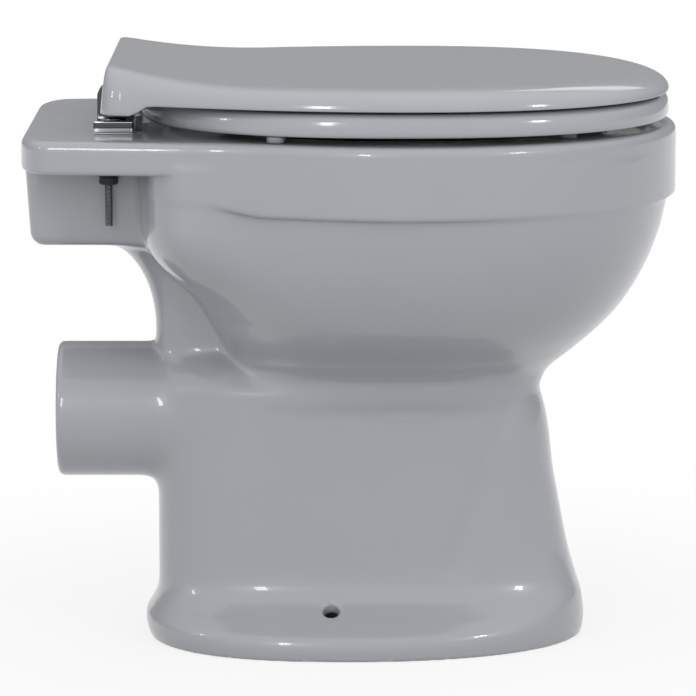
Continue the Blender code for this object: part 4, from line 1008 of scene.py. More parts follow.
class Finish:
    """One material, built from nodes round a single shader."""

    def __init__(self, name, **values):
        self.start(bpy.data.materials.new(name), "ShaderNodeOutputMaterial")
        self.shader = self.make("ShaderNodeBsdfPrincipled")
        self.set(**values)
        self.feed(self.output.inputs["Surface"], self.shader.outputs[0])
        self.place = self.make("ShaderNodeTexCoord").outputs["Object"]

    def start(self, owner, output):
        """Empty the nodes of a new material or world, and give it an output."""
        self.material = owner
        owner.use_nodes = True
        self.tree = owner.node_tree
        self.tree.nodes.clear()
        self.output = self.make(output)

    def make(self, kind, **settings):
        """Add a node with some settings."""
        node = self.tree.nodes.new(kind)
        for name, value in settings.items():
            setattr(node, name, value)
        return node

    def feed(self, socket, value):
        """Set a socket, or link it where the value comes from a node."""
        if isinstance(value, Amount):
            self.tree.links.new(value.socket, socket)
        elif isinstance(value, bpy.types.NodeSocket):
            self.tree.links.new(value, socket)
        elif isinstance(value, (int, float)):
            socket.default_value = value
        else:
            socket.default_value = (*value, 1.0) if len(socket.default_value) == 4 else tuple(value)

    def stretched(self, stretch):
        """Object coordinates with another scale along each axis."""
        node = self.make("ShaderNodeMapping")
        self.feed(node.inputs["Vector"], self.place)
        self.feed(node.inputs["Scale"], stretch)
        return node.outputs["Vector"]

    def noise(self, scale, detail=2.0, rough=0.5, stretch=None):
        """Soft random variation; scale is in waves to the metre."""
        node = self.make("ShaderNodeTexNoise")
        self.feed(node.inputs["Vector"], self.stretched(stretch) if stretch else self.place)
        self.feed(node.inputs["Scale"], scale)
        self.feed(node.inputs["Detail"], detail)
        self.feed(node.inputs["Roughness"], rough)
        return Amount(self, node.outputs["Fac"])

    def cells(self, scale):
        """Distances to the nearest of some scattered points."""
        node = self.make("ShaderNodeTexVoronoi")
        self.feed(node.inputs["Vector"], self.place)
        self.feed(node.inputs["Scale"], scale)
        return Amount(self, node.outputs["Distance"])

    def attribute(self, name):
        """A number kept on the mesh."""
        return Amount(self, self.make("ShaderNodeAttribute", attribute_name=name).outputs["Fac"])

    def axis(self, index):
        """One of the object's own coordinates."""
        node = self.make("ShaderNodeSeparateXYZ")
        self.feed(node.inputs[0], self.place)
        return Amount(self, node.outputs[index])

    def blend(self, share, one, other):
        """A colour between two others."""
        node = self.make("ShaderNodeMix", data_type="RGBA")
        self.feed(node.inputs["Factor"], share)
        self.feed(node.inputs[6], one)
        self.feed(node.inputs[7], other)
        return node.outputs[2]

    def mottled(self, share, tint, low, high):
        """A colour that varies between a darker and a lighter shade of itself."""
        return self.blend(share, shade_of(tint, low), shade_of(tint, high))

    def set(self, **values):
        """Set or link the shader's own sockets."""
        for name, value in values.items():
            socket = name.replace("_", " ").title().replace("Ior", "IOR")
            self.feed(self.shader.inputs[socket], value)

    def source(self, kind, tint, strength=1.0):
        """A shader that shines by itself."""
        node = self.make(kind)
        self.feed(node.inputs["Color"], tint)
        self.feed(node.inputs["Strength"], strength)
        return node

    def show_between(self, share, one, other):
        """Put out a share of the way from one shader to another."""
        both = self.make("ShaderNodeMixShader")
        for socket, value in zip(both.inputs, (share, one.outputs[0], other.outputs[0])):
            self.feed(socket, value)
        self.feed(self.output.inputs["Surface"], both.outputs[0])

    def relief(self, *layers):
        """Raise the surface by layers of (height, distance in metres)."""
        normal = None
        for height, distance in layers:
            node = self.make("ShaderNodeBump")
            self.feed(node.inputs["Strength"], 1.0)
            self.feed(node.inputs["Distance"], distance)
            self.feed(node.inputs["Height"], height)
            if normal is not None:
                self.feed(node.inputs["Normal"], normal)
            normal = node.outputs["Normal"]
        self.feed(self.shader.inputs["Normal"], normal)


def shade_of(colour, factor):
    """A colour made lighter or darker."""
    return tuple(min(part * factor, 1.0) for part in colour)


def glaze_finish(colours):
    """Grey glaze on fired clay: glassy and faintly wavy, matt and pale where the clay is bare."""
    finish = Finish("Grey glaze", metallic=0.0, ior=1.50, coat_roughness=0.03)
    bare = finish.attribute("bare").kept()
    cloud = finish.noise(9.0, 3.0)
    speck = finish.cells(210.0).spread(0.02, 0.06, 1.0, 0.0)
    tone = finish.mottled(cloud, colours.glaze, 0.972, 1.028)
    tone = finish.blend(speck * 0.05, tone, shade_of(colours.glaze, 0.55))
    clay = finish.mottled(finish.noise(420.0, 4.0), colours.biscuit, 0.90, 1.07)
    finish.set(
        base_color=finish.blend(bare, tone, clay),
        roughness=finish.noise(34.0, 2.0) * 0.08 + 0.26 + bare * 0.40,
        coat_weight=0.55 - bare * 0.55,
    )
    wave = finish.noise(21.0, 1.0)
    peel = finish.noise(640.0, 1.0)
    grit = finish.noise(2400.0, 3.0) * bare
    finish.relief((wave, 0.00022), (peel, 0.000010), (grit, 0.00010))
    return finish.material


def plastic_finish(name, tint, texture):
    """Glossy moulded plastic with faint flow marks and fine rubbed-in scratches."""
    finish = Finish(name, metallic=0.0, ior=1.50, coat_roughness=0.03)
    flow = finish.noise(7.0, 2.0, stretch=(1.0, 1.6, 2.2))
    wear = finish.noise(260.0, 3.0, stretch=(1.0, 0.12, 0.7))
    finish.set(
        base_color=finish.mottled(flow, tint, 0.978, 1.022),
        roughness=texture + flow * 0.03 + wear.spread(0.50, 0.80) * 0.04,
        coat_weight=0.18 + flow * 0.10,
    )
    finish.relief((finish.noise(16.0, 1.0), 0.00016), (finish.noise(900.0, 2.0), 0.000006))
    return finish.material


def chrome_finish(colours):
    """Dark polished plating with faint polishing lines, and painted reflections as pale bands along the base
    plates' foot and top edge.
    """
    finish = Finish("Polished plating", metallic=1.0)
    lines = finish.noise(520.0, 4.0, stretch=(1.0, 0.06, 1.0))
    dull = finish.noise(90.0, 3.0)
    # Painted reflection: pale bands of colour along the foot and the top edge of the base plates
    height = finish.axis(2)
    low, high = BASE.low[2], BASE.high[2]
    foot = height.spread(low + PAINTED_REFLECTION_FOOT[0], low + PAINTED_REFLECTION_FOOT[1], 1.0, 0.0)
    rim = height.spread(high - PAINTED_REFLECTION_RIM[0], high - PAINTED_REFLECTION_RIM[1])
    rim = rim * height.spread(high, high + PAINTED_REFLECTION_FADE, 1.0, 0.0)
    dark = finish.mottled(dull, colours.chrome, 0.93, 1.05)
    finish.set(
        base_color=finish.blend(foot.at_least(rim), dark, colours.bright),
        roughness=0.07 + dull.spread(0.45, 0.75) * 0.10 + lines * 0.04,
    )
    finish.relief((lines, 0.000006), (finish.noise(140.0, 1.0), 0.00002))
    return finish.material


def steel_finish(name, tint, along):
    """Turned or zinc-plated steel with fine tool marks across its axis."""
    stretch = [0.08, 0.08, 0.08]
    stretch[along] = 1.0
    finish = Finish(name, metallic=1.0)
    marks = finish.noise(3600.0, 2.0, stretch=tuple(stretch))
    bloom = finish.noise(170.0, 3.0)
    finish.set(
        base_color=finish.mottled(bloom, tint, 0.86, 1.08),
        roughness=0.14 + bloom * 0.10 + marks * 0.05,
    )
    finish.relief((marks, 0.000015))
    return finish.material


def rubber_finish(name, tint, rough):
    """Matt rubber or nylon with a fine moulded texture and faint bloom."""
    finish = Finish(name, metallic=0.0, ior=1.46)
    bloom = finish.noise(110.0, 3.0)
    grain = finish.noise(2600.0, 2.0)
    finish.set(
        base_color=finish.mottled(bloom, tint, 0.88, 1.14),
        roughness=rough + bloom * 0.10 + grain * 0.05,
    )
    finish.relief((grain, 0.00003), (finish.noise(300.0, 1.0), 0.00003))
    return finish.material


# Pieces


def model_pan(scene):
    """The ceramic pan, in one piece."""
    sizes, colours = scene.toilet_pan, scene.toilet_colours
    step = sizes.step * 1.0
    shape = PanShape(sizes, step)
    origin = np.array([shape.xs[0], -shape.ys[-1], shape.zs[0]])
    body, hollow = (
        Field(np.concatenate([half[:, ::-1], half], axis=1), origin, step) for half in shape.build()
    )
    points, quads = body.surface()
    pan = piece_from("ceramic_pan", body.settle(points, 3), quads)
    if 2 * len(quads) > MOST_TRIANGLES:
        thin = pan.modifiers.new("Thin out", "DECIMATE")
        thin.ratio = MOST_TRIANGLES / (2 * len(quads))
        settle_modifiers(pan)
    mesh = pan.data
    points = np.empty(3 * len(mesh.vertices))
    mesh.vertices.foreach_get("co", points)
    points = np.clip(body.settle(points.reshape(-1, 3), 2), PAN.low, PAN.high)
    mesh.vertices.foreach_set("co", points.ravel())
    mesh.update()
    mesh.shade_smooth()
    bare = hollow.at(points) < BARE_DEPTH
    bare |= points[:, 2] < BARE_HEIGHT
    kept = mesh.attributes.new("bare", "FLOAT", "POINT")
    kept.data.foreach_set("value", bare.astype(np.float32))
    mesh.normals_split_custom_set_from_vertices(body.slope(points).tolist())
    dress(pan, "root", "pan", glaze_finish(colours))


def oval_line(back, front, half_width, wide_at, powers, count):
    """Points round an oval that is blunt or pointed by its powers, behind and ahead."""
    turn = 2 * np.pi * np.arange(count) / count
    along, across = np.cos(turn), np.sin(turn)
    power = np.where(along > 0, 2 / powers[1], 2 / powers[0])
    reach = np.where(along > 0, front - wide_at, wide_at + back)
    x = wide_at + reach * np.sign(along) * np.abs(along) ** power
    return np.stack([x, half_width * np.sign(across) * np.abs(across) ** power], axis=1)


def upright(y):
    """The place of a profile that is drawn along X and Z, at some distance from the middle."""
    return Matrix(((1, 0, 0, 0), (0, 0, -1, y), (0, 1, 0, 0), (0, 0, 0, 1)))


def on_side(side, span):
    """The middle and the width of a span on one side."""
    return side * 0.5 * (span[0] + span[1]), span[1] - span[0]


def pin_plate(name, middle, width, profile, sizes):
    """An upright plate across the hinge line, with the pin's hole."""
    bore = circle((HINGE_X, HINGE_Z), sizes.pin_radius + sizes.pin_play, 32)
    return plate(name, [profile, bore], width, sizes.edge, upright(middle))


def arc_round_pin(sizes, start, end):
    """Points round the hinge axis from one angle to another, in degrees."""
    return circle((HINGE_X, HINGE_Z), sizes.eye_radius, 25, math.radians(start), math.radians(end))


def model_seat(scene):
    """The seat ring with its two hinge eyes."""
    sizes, fittings = scene.toilet_seat, scene.toilet_fittings
    count, steps = ((320, 5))
    closed = SEAT_SECTION_SHARES[-2:] + SEAT_SECTION_SHARES + SEAT_SECTION_SHARES[:2]
    shares = smooth_route(closed, steps)[2 * steps:-(1 + steps)]
    rings = []
    for across, rise in shares:
        line = oval_line(
            mix(sizes.seat_back, sizes.hole_back, across),
            mix(SEAT.high[0], sizes.hole_front, across),
            mix(SEAT.high[1], sizes.hole_half_width, across),
            sizes.wide_at,
            [mix(*pair, across) for pair in zip(SEAT_POWERS, SEAT_HOLE_POWERS)],
            count,
        )
        rings.append(np.column_stack([line, np.full(count, SEAT_TOP + (rise - 1) * sizes.thickness)]))
    seat = skin("seat_ring_surface", rings, joined=True)
    front = -sizes.seat_back + SEAT_EYE_START
    profile = [(front, SEAT_TOP - SEAT_EYE_LOW), (front, SEAT_TOP - SEAT_EYE_HIGH)]
    profile += arc_round_pin(fittings, 75, 285)
    ears = [
        pin_plate(f"seat_eye_{label}", *on_side(side, SEAT_EYE_SPAN), profile, fittings)
        for label, side in SIDES.items()
    ]
    merge_into(seat, ears)
    finish = plastic_finish("Ring plastic", scene.toilet_colours.plastic, 0.11)
    dress(seat, "seat", "seat_ring", finish)


def lid_line(sizes, inset, wall):
    """The lid in plan, drawn in by an inset and a wall; its back edge stays crisper than its sides."""
    back, half_width = -LID.low[0], LID.high[1]
    scale = 1 - (inset * inset / (inset + sizes.lid_back_soft) + wall) / back
    inset = inset + wall
    turn = np.linspace(0.0, 0.5 * np.pi, 57)
    front_reach = LID.high[0] - sizes.wide_at - inset
    x = sizes.wide_at + front_reach * np.cos(turn) ** (2 / LID_POWER)
    front = np.stack([x, (half_width - inset) * np.sin(turn) ** (2 / LID_POWER)], axis=1)
    corner_x = -back + sizes.lid_corner_x
    share = np.linspace(0.0, 1.0, 33)[1:]
    y = half_width - (half_width - sizes.lid_back_half_width) * (1 - np.cos(0.5 * np.pi * share))
    side = np.stack([mix(sizes.wide_at, corner_x * scale, share), y * (1 - inset / half_width)], axis=1)
    turn = np.linspace(0.0, 0.5 * np.pi, 15)[1:]
    y = sizes.lid_back_half_width - sizes.lid_corner_y * (1 - np.cos(turn))
    x = (corner_x - sizes.lid_corner_x * np.sin(turn)) * scale
    corner = np.stack([x, y * (1 - inset / half_width)], axis=1)
    straight = np.linspace(corner[-1], (-back * scale, 0.0), 13)[1:]
    return mirrored(np.vstack([front, side, corner, straight]))


def lid_crown(sizes, x):
    """The height of the lid's crown: raised over the hinges and a little lower at the nose."""
    back = np.clip(1 - (x - LID.low[0]) / sizes.lid_rise_length, 0.0, 1.0)
    nose = np.clip((x - sizes.wide_at) / (LID.high[0] - sizes.wide_at), 0.0, 1.0)
    return SEAT_TOP + sizes.lid_rise + sizes.lid_back_rise * back * back - sizes.lid_nose_drop * nose**4


def lid_rim(sizes, x):
    """The height of the lid's lower edge: a skirt over the hinges, then just above the seat."""
    share = (x - LID.low[0] - sizes.skirt_length) / sizes.skirt_ease
    return SEAT_TOP + sizes.lid_gap - sizes.skirt_drop * (1 - ease(share))


def lid_ring(sizes, inset, drop, wall):
    """One ring of the lid's skin, or of its underside where wall is its thickness."""
    line = lid_line(sizes, inset, wall)
    crown = lid_crown(sizes, line[:, 0])
    height = crown - lid_rim(sizes, line[:, 0])
    near_back = ease((LID.low[0] + 1.6 * sizes.lid_corner_x - line[:, 0]) / sizes.lid_corner_x)
    lean = LID_LEAN * (1 - drop) * near_back * float(1 - ease(inset / LID_LEAN_REACH))
    z = crown - wall - (height - wall) * drop
    return np.column_stack([line[:, 0] + lean, line[:, 1], np.minimum(z, LID.high[2])])


def model_lid(scene):
    """The lid: a shell that is open below, with two bays for the hinges and two eyes."""
    sizes, fittings = scene.toilet_seat, scene.toilet_fittings
    reach, power, wall = sizes.lid_side_soft, LID_EDGE_POWER, sizes.lid_wall
    insets = reach * np.linspace(0.0, 1.0, 26) ** LID_RING_POWER
    drops = np.minimum(1 - (1 - (1 - insets / reach) ** power) ** (1 / power), SIDE_DROP)
    deepest = LID_MIDDLE * LID.high[1]
    inner = list(np.linspace(reach, deepest, 22)[1:])
    outside = list(zip(insets, drops)) + [(inset, 0.0) for inset in inner]
    rings = [lid_ring(sizes, inset, drop, 0.0) for inset, drop in (*reversed(outside), *LID_EDGE_ROWS)]
    inset, drop = LID_EDGE_ROWS[-1]
    rings.append(lid_ring(sizes, inset, drop, wall - inset))
    for inset, drop in outside:
        if drop < UNDERSIDE_DROP:
            rings.append(lid_ring(sizes, min(inset, deepest - wall), drop, wall))
    lid = skin("lid_shell", rings)
    roof, front, back = HINGE_Z + BAY_ROOF, HINGE_X + BAY_FRONT, LID.low[0] - BAY_BACK
    bay = [(back, SEAT_TOP - BAY_DEPTH), (front, SEAT_TOP - BAY_DEPTH)]
    bay += circle((front - BAY_ROUND, roof - BAY_ROUND), BAY_ROUND, 9, 0.0, 0.5 * math.pi)
    bay.append((back, roof))
    radius, under = fittings.eye_radius, float(lid_crown(sizes, LID.low[0])) - LID_EYE_ROOT
    eye = [(HINGE_X - LID_EYE_BACK, HINGE_Z + radius), (HINGE_X + radius, under)]
    eye += arc_round_pin(fittings, 0, -180)
    bays, ears = [], []
    for label, side in SIDES.items():
        middle, width = on_side(side, BAY_SPAN)
        bays.append(plate(f"bay_{label}", [bay], width, fittings.edge, upright(middle)))
        ears.append(pin_plate(f"lid_eye_{label}", *on_side(side, LID_EYE_SPAN), eye, fittings))
    carve(lid, bays)
    face_out(lid, merge=1e-6, sharp=math.radians(32))
    merge_into(lid, ears)
    finish = plastic_finish("Lid plastic", scene.toilet_colours.plastic, 0.10)
    dress(lid, "lid", "seat_lid", finish)


def rounded_block(low, high, corner, count=7):
    """Points round a rectangle with round corners."""
    (x0, y0), (x1, y1) = low, high
    line = []
    for x, y, turn in ((x1, y1, 0), (x0, y1, 1), (x0, y0, 2), (x1, y0, 3)):
        centre = (x - corner * (1 if x == x1 else -1), y - corner * (1 if y == y1 else -1))
        line += circle(centre, corner, count, 0.5 * math.pi * turn, 0.5 * math.pi * (turn + 1))
    return line


def level_plate(name, box, corner, hole, sizes):
    """A level plate with round corners and a round hole for the stud."""
    outline = rounded_block(box.low[:2], box.high[:2], corner)
    bore = circle((STUD_X, box.middle[1]), hole, 40)
    thickness = 2 * box.half[2]
    place = Matrix.Translation((0.0, 0.0, box.middle[2]))
    return plate(name, [outline, bore], thickness, min(sizes.edge, 0.35 * thickness), place)


def turned(name, profile, centre, joined=False, lay=False):
    """A round piece from a profile of (radius, height) rows, upright or laid along Y."""
    count = 64
    turn = 2 * np.pi * np.arange(count) / count
    rings = [np.stack([r * np.cos(turn), r * np.sin(turn), np.full(count, h)], axis=1) for r, h in profile]
    item = skin(name, rings, joined)
    if lay:
        item.data.transform(Matrix.Rotation(math.radians(90), 4, "X"))
    item.data.transform(Matrix.Translation(centre))
    return face_out(item, merge=1e-7, sharp=math.radians(35))


def model_hinges(scene):
    """Two hinges, each with its pad, base, post and pin."""
    sizes, colours = scene.toilet_fittings, scene.toilet_colours
    chrome = chrome_finish(colours)
    steel = steel_finish("Turned pin steel", colours.steel, 1)
    pad = rubber_finish("Clear grey pad", colours.gasket, 0.34)
    stud_hole = STUD.half[0] + sizes.pin_play
    for label in SIDES:
        for node, name, corner, slot, finish in (
            (f"hinge_gasket_{label}", "hinge_pad", PAD_CORNER, "gasket", pad),
            (f"hinge_base_{label}", "base_plate", BASE_CORNER, "hinge_chrome", chrome),
        ):
            item = level_plate(f"{name}_{label}", Box(node), corner, stud_hole, sizes)
            dress(item, "root", node, finish)
        box = Box(f"hinge_post_{label}")
        profile = [(box.low[0], box.low[2]), (box.high[0], box.low[2])]
        profile += circle((HINGE_X, box.high[2] - box.half[0]), box.half[0], 33, 0.0, math.pi)
        item = pin_plate(f"post_{label}", box.middle[1], 2 * box.half[1], profile, sizes)
        dress(item, "root", f"hinge_post_{label}", chrome)
        box = Box(f"hinge_pin_{label}")
        shares = ((0.35, 1.0), (0.80, 0.992), (0.95, 0.982), (1.0, 0.965))
        profile = [(sizes.pin_radius * r, box.half[1] * h) for r, h in shares]
        profile += [(r, -h) for r, h in reversed(profile)]
        item = turned(f"pin_{label}", profile, (HINGE_X, box.middle[1], HINGE_Z), lay=True)
        dress(item, "root", f"hinge_pin_{label}", steel)


class Tree:
    """A Geometry Nodes tree with named inputs."""

    def __init__(self, name, **inputs):
        self.group = bpy.data.node_groups.new(name, "GeometryNodeTree")
        face = self.group.interface
        face.new_socket("Geometry", in_out="OUTPUT", socket_type="NodeSocketGeometry")
        self.names = {}
        for label, kind in inputs.items():
            socket = face.new_socket(label, in_out="INPUT", socket_type=f"NodeSocket{kind}")
            self.names[label] = socket.identifier
        self.inputs = self.add("NodeGroupInput").outputs
        self.last = self.add("NodeGroupOutput")

    def add(self, kind, links=None, **settings):
        """Add a node; links give its inputs by name, as sockets or plain values."""
        node = self.group.nodes.new(kind)
        for name, value in settings.items():
            setattr(node, name, value)
        for name, value in (links or {}).items():
            socket = node.inputs[name]
            if isinstance(value, bpy.types.NodeSocket):
                self.group.links.new(value, socket)
            elif isinstance(value, list):
                for part in value:
                    self.group.links.new(part, socket)
            else:
                socket.default_value = value
        return node

    def put(self, kind, links, **settings):
        """Add a node, and give its first output."""
        return self.add(kind, links, **settings).outputs[0]

    def make(self, name, geometry, material, **values):
        """Run the tree once with its inputs' values, and keep what it makes as a plain mesh."""
        whole = self.put("GeometryNodeRealizeInstances", {"Geometry": geometry})
        painted = {"Geometry": whole, "Material": self.inputs["Material"]}
        self.group.links.new(self.put("GeometryNodeSetMaterial", painted), self.last.inputs[0])
        item = in_scene(name, bpy.data.meshes.new(name))
        step = item.modifiers.new("Shape", "NODES")
        step.node_group = self.group
        for label, value in dict(values, Material=material).items():
            step[self.names[label]] = value
        return settle_modifiers(item)


def threaded_rod(name, box, sizes, material):
    """A stud: a core rod and a thread that winds round it."""
    tree = Tree(
        f"{name} thread", Radius="Float", Length="Float", Turns="Float", Depth="Float", Material="Material"
    )
    given = tree.inputs
    inner = tree.put("ShaderNodeMath", {0: given["Radius"], 1: given["Depth"]}, operation="SUBTRACT")
    coil = tree.put(
        "GeometryNodeCurveSpiral",
        {
            "Resolution": 20,
            "Rotations": given["Turns"],
            "Start Radius": inner,
            "End Radius": inner,
            "Height": given["Length"],
        },
    )
    steady = tree.put("GeometryNodeSetCurveNormal", {"Curve": coil}, mode="Z_UP")
    ridge = tree.put("GeometryNodeCurvePrimitiveCircle", {"Resolution": 6, "Radius": given["Depth"]})
    wound = {"Curve": steady, "Profile Curve": ridge, "Fill Caps": True}
    thread = tree.put("GeometryNodeCurveToMesh", wound)
    grown = tree.put("ShaderNodeMath", {0: inner, 1: THREAD_ROOT}, operation="ADD")
    rod = {"Vertices": 32, "Radius": grown, "Depth": given["Length"], "Side Segments": 1}
    core = tree.put("GeometryNodeMeshCylinder", rod)
    half = tree.put("ShaderNodeMath", {0: given["Length"], 1: 0.5}, operation="MULTIPLY")
    up = tree.put("ShaderNodeCombineXYZ", {"Z": half})
    core = tree.put("GeometryNodeTransform", {"Geometry": core, "Translation": up})
    both = tree.put("GeometryNodeJoinGeometry", {"Geometry": [thread, core]})
    run = 2 * box.half[2] - 2 * THREAD_END * sizes.thread_depth
    item = tree.make(
        name, both, material,
        Radius=box.half[0], Length=run, Turns=run / sizes.thread_pitch, Depth=sizes.thread_depth,
    )
    foot = box.low[2] + THREAD_END * sizes.thread_depth
    item.data.transform(Matrix.Translation((*box.middle[:2], foot)))
    return face_out(item, merge=1e-7, sharp=math.radians(35))


def nut_ribs(name, centre, radius, height, sizes, material):
    """The grips round a nut."""
    tree = Tree(
        f"{name} grips", Count="Int", Radius="Float", Width="Float", Height="Float", Material="Material"
    )
    given = tree.inputs
    ring = tree.put("GeometryNodeMeshCircle", {"Vertices": given["Count"], "Radius": given["Radius"]})
    size = tree.put("ShaderNodeCombineXYZ", {"X": given["Width"], "Y": given["Width"], "Z": given["Height"]})
    rod = {"Vertices": 8, "Side Segments": 3, "Radius": 0.5, "Depth": 1.0}
    grip = tree.put("GeometryNodeMeshCylinder", rod)
    grip = tree.put("GeometryNodeTransform", {"Geometry": grip, "Scale": size})
    grips = tree.put("GeometryNodeInstanceOnPoints", {"Points": ring, "Instance": grip})
    item = tree.make(
        name, grips, material,
        Count=sizes.nut_ribs, Radius=radius, Width=sizes.nut_rib_width, Height=height,
    )
    item.data.transform(Matrix.Translation(centre))
    return face_out(item, merge=1e-7, sharp=math.radians(50))


def ring_profile(inner, outer, low, high, edge):
    """The closed section of a ring with eased edges."""
    cut = 0.3 * edge
    return [
        (inner, low + edge), (inner + cut, low + cut), (inner + edge, low),
        (outer - edge, low), (outer - cut, low + cut), (outer, low + edge),
        (outer, high - edge), (outer - cut, high - cut), (outer - edge, high),
        (inner + edge, high), (inner + cut, high - cut), (inner, high - edge),
    ]


def model_fixings(scene):
    """Two seat fixings, each with its stud, sleeve, washer and nut."""
    sizes, colours = scene.toilet_fittings, scene.toilet_colours
    zinc = steel_finish("Zinc-plated stud", colours.steel, 2)
    nylon = rubber_finish("Natural nylon", colours.nylon, 0.42)
    rubber = rubber_finish("Black rubber", colours.black, 0.62)
    black = rubber_finish("Black nylon", shade_of(colours.black, 1.3), 0.44)
    bore = STUD.half[0] + sizes.pin_play
    for label in SIDES:
        node = f"fixing_stud_{label}"
        dress(threaded_rod(f"stud_{label}", Box(node), sizes, zinc), "root", node, zinc)
        for part, edge, slot, material in (
            ("sleeve", 0.0004, "sleeve_plastic", nylon),
            ("washer", 0.0015, "washer_rubber", rubber),
            ("nut", 0.0008, "nut_plastic", black),
        ):
            node = f"fixing_{part}_{label}"
            box = Box(node)
            outer = box.half[0]
            if part == "nut":
                outer -= 0.5 * sizes.nut_rib_width
            profile = ring_profile(bore, outer, box.low[2], box.high[2], edge)
            item = turned(f"{part}_{label}", profile, (*box.middle[:2], 0.0), joined=True)
            if part == "nut":
                height = 2 * box.half[2] - 2 * edge
                merge_into(item, [nut_ribs(f"grips_{label}", box.middle, outer, height, sizes, black)])
            dress(item, "root", node, material)


def model_buffers(scene):
    """Soft buffers: four under the seat and two under the lid."""
    soft = rubber_finish("Clear grey buffer", scene.toilet_colours.pad, 0.30)
    shares = ((0.0, 0.72), (0.03, 0.86), (0.12, 0.94), (0.45, 0.975), (0.80, 1.0), (0.93, 0.97), (1.0, 0.88))
    count = 72
    for place in ("front_left", "front_right", "rear_left", "rear_right"):
        box = Box(f"seat_buffer_{place}")
        rings = []
        for rise, share in shares:
            x, y = box.half[0] * share, box.half[1] * share
            line = oval_line(x, x, y, 0.0, BUFFER_POWERS, count) + box.middle[:2]
            rings.append(np.column_stack([line, np.full(count, mix(box.low[2], box.high[2], rise))]))
        dress(skin(f"seat_pad_{place}", rings), "seat", f"seat_buffer_{place}", soft)
    steps = ((0.30, 0.0), (0.62, 0.01), (0.76, 0.07), (0.84, 0.30), (0.96, 0.88), (1.0, 0.95), (1.0, 1.0))
    for label in SIDES:
        box = Box(f"lid_buffer_{label}")
        profile = [(box.half[0] * r, mix(box.low[2], box.high[2], h)) for r, h in steps]
        item = turned(f"lid_pad_{label}", profile, (*box.middle[:2], 0.0))
        dress(item, "lid", f"lid_buffer_{label}", soft)


def facing(place, aim):
    """The turn by which something at a place looks at a point."""
    return (Vector(aim) - Vector(place)).to_track_quat("-Z", "Y").to_euler()


def lamp(name, place, size, energy):
    """A soft box: a flat rectangular lamp that looks at the object."""
    light = bpy.data.lights.new(name, "AREA")
    light.shape = "RECTANGLE"
    light.size, light.size_y = size
    light.energy = energy
    item = in_scene(name, light)
    item.location = place
    item.rotation_euler = facing(place, LAMP_AIM)


def seen_directly(finish):
    """1 for rays that look at a surface straight, in a mirror or through glass, and 0 for other light."""
    paths = finish.make("ShaderNodeLightPath")
    seen = Amount(finish, paths.outputs["Is Camera Ray"])
    for name in ("Is Glossy Ray", "Is Transmission Ray"):
        seen = seen.at_least(Amount(finish, paths.outputs[name]))
    return seen


def floor_finish(colours, sizes):
    """A pale floor: white to the eye away from the object, and plain paint near it and inside its foot."""
    finish = Finish("Pale floor", roughness=0.75)
    seen = seen_directly(finish)
    pale = finish.mottled(finish.noise(1.7, 3.0), colours.floor, 0.985, 1.01)
    finish.set(base_color=finish.blend(seen, colours.floor_shade, pale))
    white = finish.source("ShaderNodeEmission", (1.0, 1.0, 1.0))
    far = finish.make("ShaderNodeVectorMath", operation="LENGTH")
    finish.feed(far.inputs[0], finish.place)
    away = Amount(finish, far.outputs["Value"])
    share = away.spread(SHADOW_START, sizes.shadow_reach, 1.0 - sizes.shadow_share, 1.0) * seen
    x, y = (finish.axis(0) - FOOT_MIDDLE) * FOOT_SCALE[0], finish.axis(1) * FOOT_SCALE[1]
    share = share * (x * x + y * y).spread(FOOT_INNER, 1.0)
    finish.show_between(share, finish.shader, white)
    return finish.material


class WorldLight(Finish):
    """The surround: white to the eye, and soft grey light on the object."""

    def __init__(self, name, strength):
        self.start(bpy.data.worlds.new(name), "ShaderNodeOutputWorld")
        plain = self.source("ShaderNodeBackground", (0.985, 0.99, 1.0), strength)
        white = self.source("ShaderNodeBackground", (1.0, 1.0, 1.0))
        self.show_between(seen_directly(self), plain, white)


def dome_finish(sizes):
    """A studio dome that the eye looks through: dim behind the object, bright above and in front."""
    finish = Finish("Studio dome")
    height = finish.axis(2) * (1.0 / sizes.dome_radius)
    behind = finish.axis(1) * (1.0 / sizes.dome_radius)
    side = height - behind * DOME_SLANT
    strength = side.spread(*DOME_RANGE, sizes.dome_back_light, sizes.dome_front_light)
    glow = finish.source("ShaderNodeEmission", (0.98, 0.99, 1.0), strength)
    eye = finish.make("ShaderNodeLightPath").outputs["Is Camera Ray"]
    finish.show_between(eye, glow, finish.make("ShaderNodeBsdfTransparent"))
    return finish.material


def model_dome(sizes):
    """The studio's dome, far round the object and behind the lamps."""
    around = DOME_AROUND
    points = [(0.0, 0.0, sizes.dome_radius)]
    for level in range(1, DOME_LEVELS + 1):
        lean = 0.5 * math.pi * level / DOME_LEVELS
        height = max(sizes.dome_radius * math.cos(lean), DOME_LIFT)
        line = circle((0.0, 0.0), sizes.dome_radius * math.sin(lean), around)
        points += [(x, y, height) for x, y in line]
    faces = [(0, 1 + i, 1 + (i + 1) % around) for i in range(around)]
    for low in range(1, 1 + (DOME_LEVELS - 1) * around, around):
        for i in range(around):
            j = (i + 1) % around
            faces.append((low + i, low + around + i, low + around + j, low + j))
    dome = piece_from("dome", points, faces)
    dome.data.materials.append(dome_finish(sizes))


